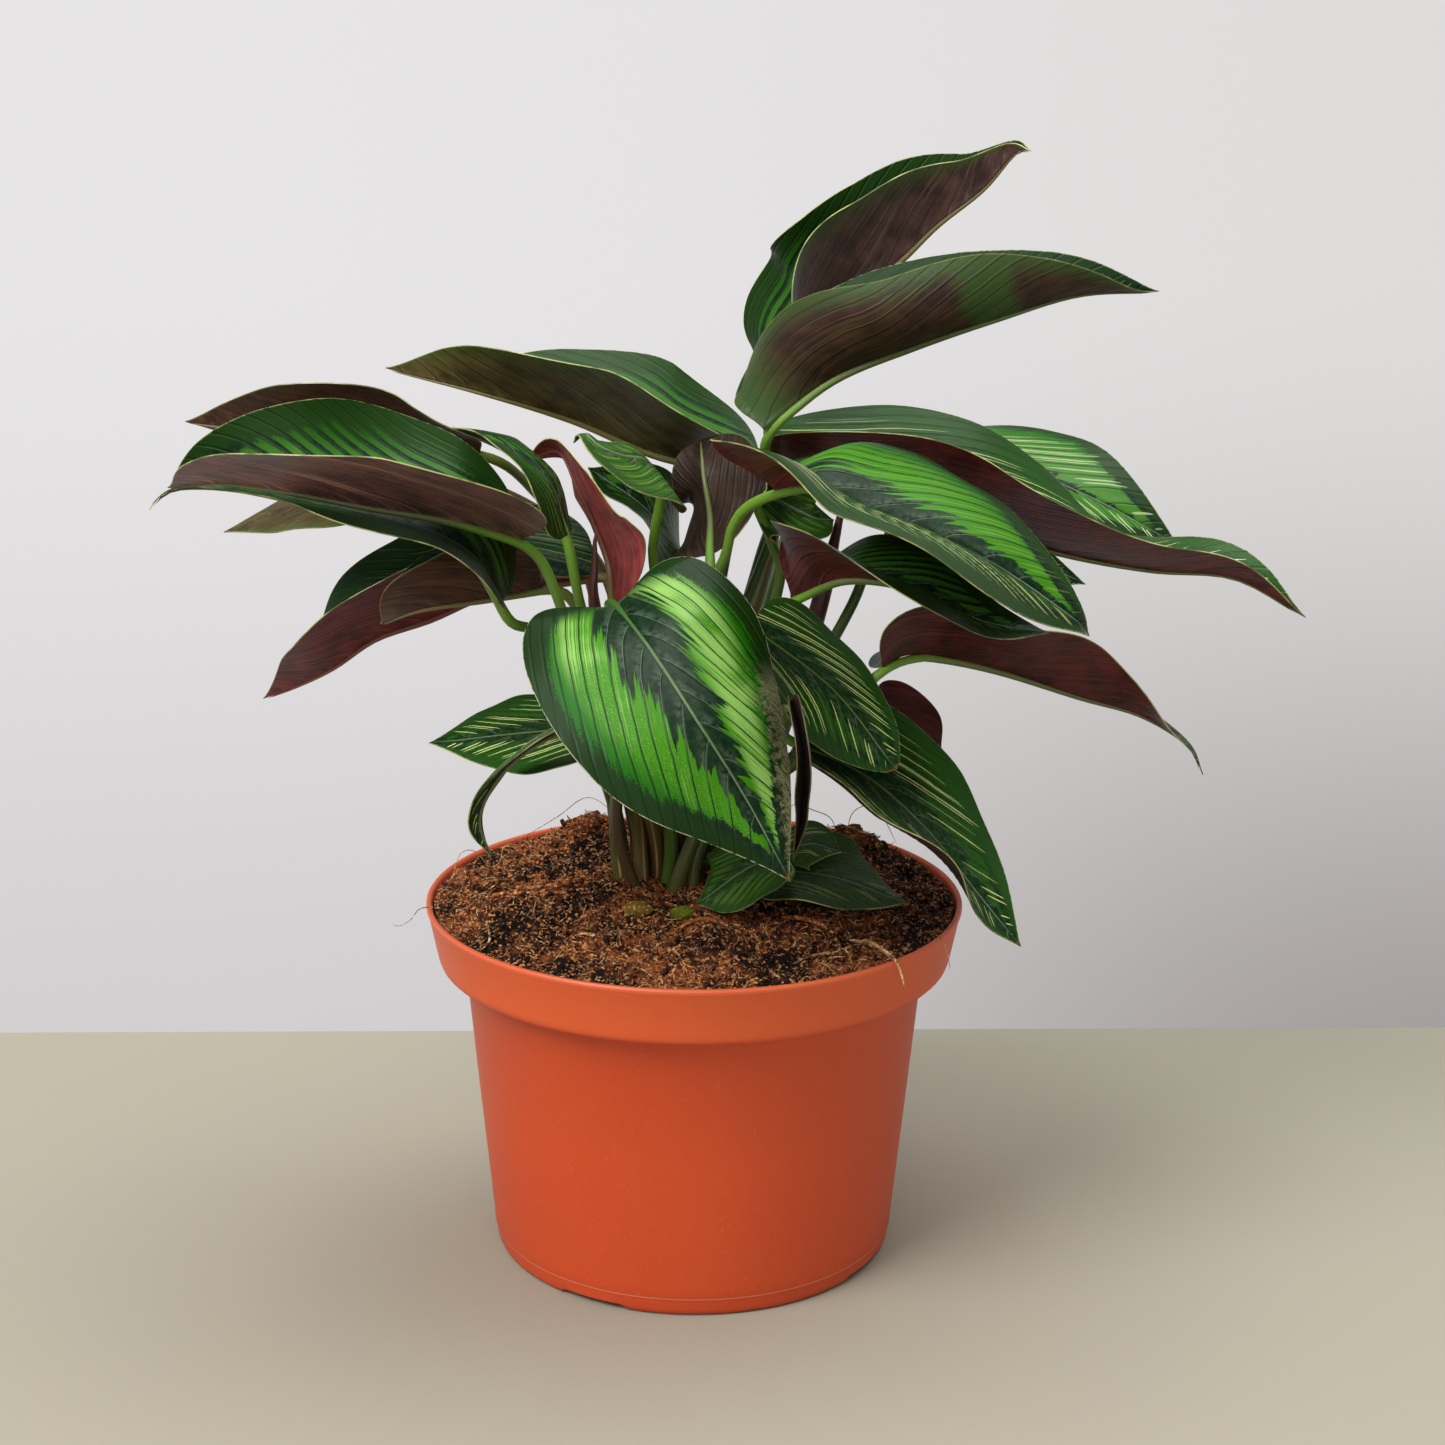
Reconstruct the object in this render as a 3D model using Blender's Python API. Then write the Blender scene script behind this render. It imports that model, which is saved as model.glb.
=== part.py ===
"""A potted calathea in a six-inch plastic nursery pot.

The frame is in metres with +Z up. The origin lies under the middle of the pot, on the plane that the
pot stands on, and the viewer looks along +Y. All sizes below are in millimetres and degrees.
"""
import math

import bmesh
import bpy
import numpy as np

MM = 0.001
GAP = 0.3                 # clearance between pieces that touch
SEGMENTS = 36             # facets round the pot and the soil

# Pot
FOOT_RADIUS = 57.3        # outer radius just above the rounded foot
BODY_TOP_RADIUS = 65.5    # outer radius of the tapered body under the rim band
RIM_RADIUS = 76.2         # outer radius of the lip
POT_HEIGHT = 103.2
BAND_BOTTOM = 86.0        # height where the rim band steps out
MOULD_LINE = 4.6          # height of the fine ledge above the foot
WALL = 1.5
FLOOR_UNDERSIDE = 2.5     # the floor is raised inside the foot ring
FLOOR_THICKNESS = 1.7
FOOT_RING_INNER = 52.0
PAD_RADIUS = 14.0         # flat boss in the middle of the underside

# Notches in the foot ring, and drain holes in the floor
NOTCH_COUNT = 4
NOTCH_FIRST = -29.5       # direction of the first notch, from the front towards +X
NOTCH_LENGTH = 21.0
NOTCH_HEIGHT = 1.2
NOTCH_SLOPE = 1.5
DRAIN_COUNT = 6
DRAIN_RADIUS = 4.0
DRAIN_CIRCLE = 38.0

# Soil
SOIL_EDGE = 101.6         # height of the soil at the rim
SOIL_RISE = 8.5           # how much higher the soil lies at the middle
SOIL_RINGS = 7
# Lumps of potting mix: x, y, height, spread
CLODS = (
    (-31, 35, 9.0, 11),
    (46, 30, 8.0, 10),
    (-45, -25, 1.6, 13),
    (-10, -12, 1.5, 12),
    (20, -58, -1.5, 12),
)

# Blades and stalks
BLADE_THICKNESS = 0.7
RIB_STATIONS = 81         # points along a midrib at which its frame is kept
STALK_FOOT_RADIUS = 2.1
STALK_TOP_RADIUS = 1.3
SHORT_STALK = 40.0        # a stalk shorter than this is slimmer
SHORT_STALK_SHARE = 0.7
STALK_SIDES = 6
STALK_STATIONS = 9
STALK_UNDER_BLADE = (0.06, 0.15)  # shares of the midrib that the stalk runs on under
STALK_THINNING = 3.2
HOLE_TOP = 116.0          # a stalk's hole in the soil is cut up to this height
LARGE_LEAF = 44.0         # a blade at least this wide gets the finer mesh
FINE_MESH = (10, 4)       # rows from collar to tip, columns from midrib to margin
COARSE_MESH = (7, 3)

# Colours are linear RGB
POT_COLOUR = (0.50, 0.075, 0.022)
SOIL_COLOUR = (0.085, 0.045, 0.022)
GREEN = (0.035, 0.12, 0.022)
LIGHT_GREEN = (0.10, 0.24, 0.035)
PURPLE = (0.10, 0.018, 0.03)


def catmull_rom(points, at):
    """Values of an evenly keyed Catmull-Rom curve at shares of its length of keys."""
    points = np.asarray(points, float)
    if len(points) == 1:
        return np.repeat(points, len(at), axis=0)
    keys = np.concatenate([[2 * points[0] - points[1]], points, [2 * points[-1] - points[-2]]])
    place = np.clip(at, 0, 1) * (len(points) - 1)
    first = np.minimum(place.astype(int), len(points) - 2)
    f = place - first
    if points.ndim > 1:
        f = f[:, None]
    a, b, c, d = (keys[first + k] for k in range(4))
    return 0.5 * (2 * b + (c - a) * f + (2 * a - 5 * b + 4 * c - d) * f**2 + (3 * b - a - 3 * c + d) * f**3)


def even_curve(points, count):
    """A smooth curve through the points, as count points evenly spaced along it."""
    dense = catmull_rom(points, np.linspace(0, 1, 24 * len(points)))
    run = np.concatenate([[0], np.cumsum(np.linalg.norm(np.diff(dense, axis=0), axis=1))])
    wanted = np.linspace(0, run[-1], count)
    return np.stack([np.interp(wanted, run, dense[:, k]) for k in range(3)], 1)


def unit(vectors):
    return vectors / np.linalg.norm(vectors, axis=-1, keepdims=True)


def carried_sides(tangents, side):
    """A side vector carried along a curve without twisting about it."""
    sides = []
    for tangent in tangents:
        side = unit(side - tangent * (side @ tangent))
        sides.append(side)
    return np.array(sides)


class Leaf:
    """A blade laid along its midrib, and the stalk that carries it.

    rib runs from the collar, where the stalk ends, to the tip. stalk runs from its foot in the soil to
    just short of the collar. left and right are the angles at which the halves rise from the midrib,
    evenly keyed from collar to tip, and curl says how much further each half bends up to its margin.
    roll turns the blade about the midrib, at the collar and at the tip. lobe rounds the base back past
    the collar, point draws out the tip, and halves are the two halves' widths as shares.
    """

    def __init__(self, name, width, left, right, curl, roll, rib, stalk, lobe=1.2, point=0.35, halves=(1, 1),
                 colour=GREEN):
        self.name = name
        self.width = width
        self.curl = curl
        self.stalk = stalk
        self.lobe = lobe
        self.point = point
        self.halves = halves
        self.colour = colour
        self.keys = np.linspace(0, 1, RIB_STATIONS)
        self.line = even_curve(rib, RIB_STATIONS)
        self.length = np.linalg.norm(np.diff(self.line, axis=0), axis=1).sum()
        self.along = unit(np.gradient(self.line, axis=0))
        flat = carried_sides(self.along, np.cross((0, 0, 1), self.along[0]))
        up = np.cross(self.along, flat)
        turn = np.radians(catmull_rom(roll, self.keys))[:, None]
        self.side = flat * np.cos(turn) + up * np.sin(turn)
        self.normal = up * np.cos(turn) - flat * np.sin(turn)
        self.rise = [np.radians(catmull_rom(angles, self.keys)) for angles in (left, right)]

    def surface(self, x, y):
        """Points of the blade's middle surface, x along the midrib and y across it, left positive."""
        at = np.clip(x / self.length, 0, 1)
        middle, along, side, normal = (
            np.stack([np.interp(at, self.keys, field[:, k]) for k in range(3)], -1)
            for field in (self.line, self.along, self.side, self.normal)
        )
        middle = middle + along * np.minimum(x, 0)[..., None]
        is_left = y > 0
        start = np.where(is_left, *(np.interp(at, self.keys, rise) for rise in self.rise))
        curl = np.radians(np.where(is_left, *self.curl))
        bend = np.where(np.abs(curl) < 1e-4, 1e-4, curl) / (self.width / 2)
        end = start + bend * np.abs(y)
        out = (np.sin(end) - np.sin(start)) / bend * np.where(is_left, 1, -1)
        up = (np.cos(start) - np.cos(end)) / bend
        return middle + out[..., None] * side + up[..., None] * normal

    def outline(self, s):
        """Place along the midrib, and half width, of the margin at shares s from base to tip."""
        x = self.length * (s - self.lobe * s * (1 - s) ** 6)
        y = self.width / 2 * np.sin(np.pi * s**0.72) ** (0.8 + self.point * s)
        return x, y

    def sheet(self, rows, columns):
        """Points and triangles of the middle surface, and its rim as a loop of point numbers."""
        s = (np.linspace(0, 1, rows + 1) ** 1.15)[1:-1]
        margin_x, margin_y = self.outline(s)
        rib_x = self.length * s**1.5
        across = np.linspace(-1, 1, 2 * columns + 1)
        x = rib_x[:, None] + (margin_x - rib_x)[:, None] * np.abs(across) ** 1.5
        y = margin_y[:, None] * across * np.where(across > 0, *self.halves)
        ends = self.surface(np.array([0, self.length]), np.zeros(2))
        points = np.concatenate([ends[:1], self.surface(x, y).reshape(-1, 3), ends[1:]])
        tip = len(points) - 1
        count = len(across)

        def at(row, column):
            return 1 + row * count + column

        triangles = []
        for column in range(count - 1):
            triangles.append((0, at(0, column), at(0, column + 1)))
            triangles.append((tip, at(rows - 2, column + 1), at(rows - 2, column)))
        for row in range(rows - 2):
            for column in range(count - 1):
                a, b = at(row, column), at(row + 1, column)
                c, d = at(row + 1, column + 1), at(row, column + 1)
                triangles += [(a, b, c), (a, c, d)] if column < columns else [(a, b, d), (b, c, d)]
        right_rim = [at(row, 0) for row in range(rows - 1)]
        left_rim = [at(row, count - 1) for row in range(rows - 2, -1, -1)]
        return points, triangles, [0] + right_rim + [tip] + left_rim

    def blade(self):
        """The blade as a closed skin of even thickness, both faces split into triangles alike."""
        mesh = FINE_MESH if self.width >= LARGE_LEAF else COARSE_MESH
        points, triangles, rim = self.sheet(*mesh)
        corners = points[np.array(triangles)]
        facing = np.cross(corners[:, 1] - corners[:, 0], corners[:, 2] - corners[:, 0])
        normals = np.zeros_like(points)
        for k in range(3):
            np.add.at(normals, np.array(triangles)[:, k], facing)
        offset = unit(normals) * BLADE_THICKNESS / 2
        count = len(points)
        faces = triangles + [(c + count, b + count, a + count) for a, b, c in triangles]
        for a, b in zip(rim, rim[1:] + rim[:1]):
            faces.append((b, a, a + count, b + count))
        return np.concatenate([points + offset, points - offset]), faces

    def stalk_line(self):
        """Points along the stalk, with its radius at each."""
        collar = self.line[0] - self.normal[0] * 0.4
        line = even_curve(list(self.stalk) + [collar], STALK_STATIONS)
        radii = np.linspace(STALK_FOOT_RADIUS, STALK_TOP_RADIUS, STALK_STATIONS)
        if np.linalg.norm(np.subtract(self.stalk[0], self.stalk[-1])) < SHORT_STALK:
            radii = radii * SHORT_STALK_SHARE
        shares = np.array(STALK_UNDER_BLADE)
        under = self.surface(shares * self.length, np.zeros(len(shares)))
        stations = (shares * (RIB_STATIONS - 1)).astype(int)
        under = under - self.normal[stations] * BLADE_THICKNESS / 2
        thinned = radii[-1] * (1 - shares * STALK_THINNING)
        return np.concatenate([line, under]), np.concatenate([radii, thinned])


def tube(line, radii):
    """A closed tube round a line of points."""
    tangents = unit(np.gradient(line, axis=0))
    sides = carried_sides(tangents, np.cross(tangents[0], (0.3, 1.0, 0.2)))
    others = np.cross(tangents, sides)
    turns = np.arange(STALK_SIDES) * 2 * np.pi / STALK_SIDES
    ring = np.cos(turns)[None, :, None] * sides[:, None] + np.sin(turns)[None, :, None] * others[:, None]
    points = (line[:, None] + radii[:, None, None] * ring).reshape(-1, 3)
    faces = []
    for station in range(len(line) - 1):
        low, high = station * STALK_SIDES, (station + 1) * STALK_SIDES
        for k in range(STALK_SIDES):
            n = (k + 1) % STALK_SIDES
            faces += [(low + k, low + n, high + n), (low + k, high + n, high + k)]
    last = (len(line) - 1) * STALK_SIDES
    faces.append(tuple(reversed(range(STALK_SIDES))))
    faces.append(tuple(range(last, last + STALK_SIDES)))
    return points, faces


LEAVES = (
    Leaf("leaf_front", width=65, left=(15, -15, -20, -20), right=(25, 10, 5, 0), curl=(-35, 0), roll=(30, 25), lobe=2.5,
         rib=[(-20, -46, 198), (-11, -67, 192), (1, -83, 178), (14, -87, 158), (25, -88, 137)],
         stalk=[(-9, -8, 98), (-7, -11, 127), (-19, -26, 182), (-23, -40, 198)]),
    Leaf("leaf_right_pinstripe", width=43, left=(5, -10, 5), right=(15, -5, -25), curl=(0, 5), roll=(30, 35), point=-0.1,
         rib=[(15, -38, 191), (37, -38, 174), (54, -42, 153)],
         stalk=[(-8, -13, 98), (-3, -15, 117), (8, -13, 147), (12, -21, 169), (12, -38, 189)]),
    Leaf("leaf_right_low", width=53, left=(40, 10, 5, 30), right=(5, -5, 15, -15), curl=(5, 50), roll=(10, 20),
         rib=[(28, -27, 156), (47, -32, 148), (63, -37, 135), (76, -39, 119), (89, -41, 103)],
         stalk=[(0, -14, 98), (1, -11, 120), (17, -6, 145), (22, -25, 158)]),
    Leaf("leaf_right_drooping", width=49, left=(-20,), right=(65, 45, 65, -15), curl=(0, 20), roll=(5, 30), point=0.9,
         rib=[(51, -18, 175), (57, -15, 178), (67, -12, 177), (84, -11, 173), (106, -12, 166), (123, -13, 161),
              (136, -15, 153), (140, -17, 145)],
         stalk=[(12, 2, 98), (14, -3, 130), (46, -9, 158), (48, -8, 166), (46, -20, 170)]),
    Leaf("leaf_right_front", width=77, left=(20, 30, 25, 25), right=(60, 40, 35, 15, 0), curl=(-65, -25), roll=(15, 10),
         lobe=2.4,
         rib=[(21, -35, 227), (31, -42, 230), (43, -47, 225), (61, -52, 219), (78, -53, 211), (98, -50, 197),
              (103, -46, 191)],
         stalk=[(-4, -10, 98), (2, -6, 135), (6, -19, 198), (8, -21, 206), (11, -25, 219), (16, -31, 223)]),
    Leaf("leaf_right_mid", width=49, left=(20, 15, 10, 5), right=(115, 50, 25, 15, -5), curl=(0, -20), roll=(0, 15),
         lobe=2.2,
         rib=[(26, -17, 194), (40, -27, 202), (58, -34, 201), (75, -36, 193), (94, -35, 189)],
         stalk=[(3, 4, 98), (4, 5, 122), (23, -21, 187), (22, -14, 188)]),
    Leaf("leaf_right_long", width=69, left=(30, 50, 10, 60), right=(40, 50, 40, 60), curl=(-35, 10), roll=(10, 15),
         rib=[(18, 18, 226), (40, 15, 220), (61, 13, 214), (83, 10, 207), (104, 5, 202), (126, 0, 199), (148, -5, 198),
              (167, -10, 188)],
         stalk=[(-4, 11, 98), (-3, 10, 124), (17, 29, 192), (21, 25, 211), (11, 19, 226)]),
    Leaf("leaf_right_upper", width=61, left=(5, 5, 20, 35), right=(5, 5, 0, -10), curl=(-10, 20), roll=(-10, 25),
         rib=[(40, 66, 223), (67, 61, 224), (93, 54, 218), (117, 47, 209), (141, 45, 196)],
         stalk=[(2, 19, 98), (5, 22, 125), (27, 57, 201), (33, 66, 221)]),
    Leaf("leaf_top_right", width=52, left=(55, 50, 40, 60), right=(95, 20, 45, 25), curl=(-10, 105), roll=(-10, 30),
         lobe=2,
         rib=[(18, -11, 239), (36, -11, 253), (57, -13, 262), (79, -16, 270), (101, -13, 276), (123, -6, 276)],
         stalk=[(-9, 7, 98), (-6, 9, 132), (22, 24, 205), (21, 16, 223), (18, -6, 232)]),
    Leaf("leaf_top", width=55, left=(-5, 70, 60, 55), right=(5, 75, 75, 80), curl=(45, -35), roll=(10, -5), lobe=2,
         rib=[(21, 36, 248), (26, 36, 256), (35, 35, 262), (48, 33, 273), (57, 32, 281), (66, 31, 290), (78, 27, 300),
              (86, 22, 310), (90, 16, 311)],
         stalk=[(-2, 16, 98), (0, 17, 124), (22, 40, 198), (20, 44, 227), (20, 36, 240)]),
    Leaf("leaf_upper_left", width=64, left=(40, 45, 45, 70), right=(20, 35, 15, 15), curl=(-15, 15), roll=(-15, 15),
         lobe=0.8,
         rib=[(18, 36, 220), (-9, 32, 224), (-35, 28, 235), (-61, 20, 244), (-88, 28, 249)],
         stalk=[(-7, 18, 98), (-4, 19, 125), (8, 22, 196), (12, 30, 212), (25, 37, 217)]),
    Leaf("leaf_left_big", width=65, left=(30, 45, 50, 45), right=(15, 5, 30, 115), curl=(-10, 55), roll=(-5, -30),
         rib=[(-45, -38, 214), (-63, -46, 221), (-83, -50, 225), (-103, -52, 229), (-122, -46, 230), (-138, -34, 226)],
         stalk=[(-19, -5, 98), (-22, -6, 122), (-22, -14, 147), (-27, -20, 168), (-35, -32, 193), (-40, -35, 208)]),
    Leaf("leaf_left_back", width=48, left=(40, 55, 55, 65), right=(-20,), curl=(-30, 0), roll=(-10, 15),
         rib=[(-61, 20, 227), (-82, 18, 230), (-102, 15, 234), (-123, 14, 234), (-143, 18, 235)],
         stalk=[(-19, 14, 98), (-16, 18, 124), (-26, 54, 180), (-48, 34, 214), (-55, 21, 224)]),
    Leaf("leaf_left_under", width=55, left=(-5, -10, -5, -5), right=(20, 25, 15, 10), curl=(10, 25), roll=(0, 5),
         point=0.9,
         rib=[(-51, -32, 196), (-57, -33, 207), (-67, -33, 214), (-83, -34, 219), (-104, -33, 223), (-121, -33, 226),
              (-135, -33, 226), (-141, -33, 223), (-143, -34, 220)],
         stalk=[(-20, 2, 98), (-22, 1, 125), (-29, -4, 148), (-38, -14, 171), (-44, -24, 187), (-49, -31, 188)]),
    Leaf("leaf_left_tip", width=34, left=(0, -5, -10), right=(0,), curl=(-5, 0), roll=(-5, -15), colour=PURPLE,
         rib=[(-78, 14, 214), (-107, 16, 213), (-134, 21, 203)],
         stalk=[(-20, 8, 98), (-24, 20, 125), (-33, 58, 184), (-56, 46, 210), (-71, 13, 212)]),
    Leaf("leaf_left_low", width=54, left=(40, 65, 55, 75), right=(50, 50, 45), curl=(-20, 0), roll=(-25, 0),
         rib=[(-29, 22, 191), (-46, 25, 188), (-62, 28, 184), (-77, 28, 177), (-93, 28, 171), (-106, 33, 161),
              (-118, 42, 153), (-130, 52, 146)],
         stalk=[(-12, 17, 98), (-11, 18, 123), (-18, 18, 170), (-22, 21, 190)]),
    Leaf("leaf_left_low_front", width=34, left=(75, 70, 50), right=(70, 70, 65), curl=(5, 0), roll=(5, -10),
         rib=[(-42, -7, 194), (-59, -8, 191), (-76, -8, 188), (-88, 3, 181)],
         stalk=[(-16, 4, 98), (-17, 4, 121), (-29, -5, 176), (-35, -7, 193)]),
    Leaf("leaf_low_left_pinstripe", width=38, left=(-5, -10, -15), right=(10, 5, 5), curl=(-5, 5), roll=(-5, -10),
         rib=[(-26, -37, 163), (-48, -41, 162), (-70, -44, 160)],
         stalk=[(-14, -7, 98), (-16, -8, 128), (-17, -29, 156), (-19, -36, 160)]),
    Leaf("leaf_low_left_twisted", width=19, left=(30, 30, 40), right=(15, 10, 0), curl=(-35, -45), roll=(5, 25), point=0.7,
         rib=[(-30, -62, 171), (-41, -66, 166), (-50, -68, 158), (-55, -69, 147), (-52, -66, 135)],
         stalk=[(-10, -3, 98), (-11, -8, 123), (-18, -46, 161), (-23, -60, 171)]),
    Leaf("leaf_soil_front", width=34, left=(0, -5, -20), right=(10, 5, 0), curl=(5, -5), roll=(0, -5), colour=LIGHT_GREEN,
         rib=[(23, -25, 123), (15, -29, 121), (8, -32, 117), (1, -31, 111)],
         stalk=[(0, -4, 98), (6, -12, 112), (13, -27, 116), (27, -29, 119)]),
    Leaf("leaf_soil_tip", width=22, left=(5,), right=(-5, -10, -5), curl=(5, -10), roll=(10, 5), colour=LIGHT_GREEN,
         rib=[(26, -13, 121), (33, -13, 123), (41, -15, 121)],
         stalk=[(7, -7, 98), (8, -8, 112), (14, -12, 122), (20, -12, 119)]),
    Leaf("leaf_soil_right", width=43, left=(20, -5, -5), right=(0, 0, -15), curl=(5, 5), roll=(10, 0), colour=LIGHT_GREEN,
         rib=[(22, -15, 116), (40, -25, 117), (59, -29, 111)],
         stalk=[(-2, 6, 98), (0, 2, 110), (9, -3, 113), (16, -11, 113)]),
    Leaf("leaf_hanging", width=21, left=(80,), right=(70, 65, 65), curl=(30, 0), roll=(5, 10),
         rib=[(25, -61, 177), (28, -69, 166), (28, -70, 151), (26, -71, 137)],
         stalk=[(-5, -5, 98), (-4, -5, 124), (3, -46, 160), (19, -60, 172)]),
    Leaf("leaf_centre_wavy", width=34, left=(-50, -45, -50, -40), right=(40, 35, 35), curl=(0, 0), roll=(0, -5),
         halves=(1, 0.4),
         rib=[(-9, -9, 222), (-11, -16, 229), (-14, -22, 233), (-19, -29, 235), (-25, -33, 238), (-29, -32, 241),
              (-32, -30, 238)],
         stalk=[(-11, 2, 98), (-11, 2, 122), (-11, -1, 186), (-12, -3, 205), (-10, -9, 216)]),
    Leaf("leaf_centre_purple", width=43, left=(-35, -20, -15), right=(5, 55, 10), curl=(-20, 25), roll=(165, 170),
         point=-0.35, colour=PURPLE,
         rib=[(4, -9, 204), (4, -2, 213), (2, 3, 224), (1, 12, 232)],
         stalk=[(-6, 1, 98), (-6, 1, 122), (2, -8, 194), (4, -15, 198)]),
    Leaf("leaf_centre_green", width=39, left=(-10, 35, 15), right=(-45, -10, -5), curl=(20, 0), roll=(-35, -50),
         rib=[(-3, 22, 196), (-15, 22, 211), (-31, 23, 222)],
         stalk=[(-10, 12, 98), (-8, 14, 128), (-2, 18, 167), (0, 22, 189)]),
    Leaf("leaf_maroon", width=42, left=(25, 0, -5), right=(25, 10, 5), curl=(20, -20), roll=(90, 85), colour=PURPLE,
         rib=[(-22, -9, 190), (-23, -1, 199), (-27, 2, 209), (-32, 3, 220), (-38, 6, 230), (-48, 8, 226)],
         stalk=[(-14, 9, 98), (-14, 9, 126), (-21, -11, 175), (-22, -13, 184)]),
    Leaf("leaf_left_centre", width=42, left=(0, 10, 25), right=(-5, 5, 10), curl=(-10, -25), roll=(0, 10),
         rib=[(-34, -21, 212), (-39, -20, 226), (-51, -20, 235), (-65, -18, 240)],
         stalk=[(-15, -1, 98), (-17, -2, 128), (-31, -19, 192), (-33, -21, 204)]),
    Leaf("leaf_right_behind", width=37, left=(10, 5, 10), right=(5, -5, -10), curl=(-15, -15), roll=(0, 10),
         rib=[(54, -14, 223), (71, -20, 216), (88, -24, 208), (105, -20, 199)],
         stalk=[(8, 6, 98), (11, 5, 124), (41, 2, 183), (46, 4, 194), (53, -4, 210), (48, -12, 223)]),
    Leaf("leaf_right_low_back", width=32, left=(35, 30, 25), right=(20, 15, 15), curl=(10, 0), roll=(10, 0),
         rib=[(50, 8, 152), (61, 10, 149), (70, 6, 144)],
         stalk=[(5, 13, 98), (8, 13, 123), (31, 6, 145), (44, 6, 151)]),
    Leaf("leaf_young_centre", width=26, left=(50,), right=(-65, -45, -40), curl=(0, -10), roll=(15, -5),
         colour=LIGHT_GREEN,
         rib=[(19, -2, 220), (25, 2, 216), (32, 0, 213), (38, 5, 211)],
         stalk=[(1, 10, 98), (2, 10, 122), (22, -2, 190), (21, -2, 205), (14, -6, 222)]),
)

# Leaves that are still rolled up: name, points from the foot in the soil to the tip, and their radii
SPEARS = (
    ("leaf_rolled", [(8, 20, 98), (17, 17, 124), (26, 10, 155), (34, 5, 185), (38, 7, 203), (41, 7, 218)],
     (2.1, 2.0, 2.4, 2.7, 2.5, 0.5)),
    ("leaf_spike", [(-12, -12, 98), (-21, -16, 126), (-21, -20, 159), (-27, -21, 192), (-27, -21, 203), (-27, -20, 212)],
     (1.8, 1.7, 1.5, 1.4, 1.9, 0.4)),
)


def material(name, colour, roughness):
    made = bpy.data.materials.new(name)
    made.use_nodes = True
    made.diffuse_color = (*colour, 1.0)
    shader = made.node_tree.nodes["Principled BSDF"]
    shader.inputs["Base Color"].default_value = (*colour, 1.0)
    shader.inputs["Roughness"].default_value = roughness
    shader.inputs["Metallic"].default_value = 0.0
    return made


def mesh_object(name, points, faces):
    """An object from points in millimetres."""
    mesh = bpy.data.meshes.new(name)
    mesh.from_pydata((np.asarray(points) * MM).tolist(), [], faces)
    mesh.update()
    made = bpy.data.objects.new(name, mesh)
    bpy.context.collection.objects.link(made)
    return made


def boolean(target, tool, operation):
    """Applies an exact Boolean with a tool object or a collection of tools, and removes the tools."""
    modifier = target.modifiers.new(operation.title(), "BOOLEAN")
    modifier.operation = operation
    modifier.solver = "EXACT"
    if isinstance(tool, bpy.types.Collection):
        modifier.operand_type = "COLLECTION"
        modifier.collection = tool
        used = list(tool.objects)
    else:
        modifier.object = tool
        used = [tool]
    bpy.context.view_layer.objects.active = target
    bpy.ops.object.modifier_apply(modifier=modifier.name)
    for done in used:
        bpy.data.objects.remove(done, do_unlink=True)
    if isinstance(tool, bpy.types.Collection):
        bpy.data.collections.remove(tool)


def tool_collection(name):
    made = bpy.data.collections.new(name)
    bpy.context.scene.collection.children.link(made)
    return made


def move_to(collection, thing):
    for held in list(thing.users_collection):
        held.objects.unlink(thing)
    collection.objects.link(thing)


def finish(thing, colour, roughness, crease=35):
    thing.data.materials.clear()
    thing.data.materials.append(material(thing.name, colour, roughness))
    thing.data.shade_smooth()
    thing.data.set_sharp_from_angle(angle=math.radians(crease))


def inner_radius(z):
    """Inner radius of the pot's tapered body at a height."""
    slope = (BODY_TOP_RADIUS - FOOT_RADIUS) / (BAND_BOTTOM - MOULD_LINE)
    return FOOT_RADIUS + slope * (z - MOULD_LINE) - WALL


def turned(name, profile):
    """A solid turned about the Z axis from a profile of (radius, height) that starts and ends on it."""
    build = bmesh.new()
    points = [build.verts.new((0.0, -radius * MM, z * MM)) for radius, z in profile]
    edges = [build.edges.new(pair) for pair in zip(points, points[1:])]
    bmesh.ops.spin(build, geom=points + edges, cent=(0, 0, 0), axis=(0, 0, 1), angle=math.tau, steps=SEGMENTS,
                   use_merge=True)
    bmesh.ops.remove_doubles(build, verts=build.verts, dist=1e-6)
    bmesh.ops.recalc_face_normals(build, faces=build.faces)
    mesh = bpy.data.meshes.new(name)
    build.to_mesh(mesh)
    build.free()
    made = bpy.data.objects.new(name, mesh)
    bpy.context.collection.objects.link(made)
    return made


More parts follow.
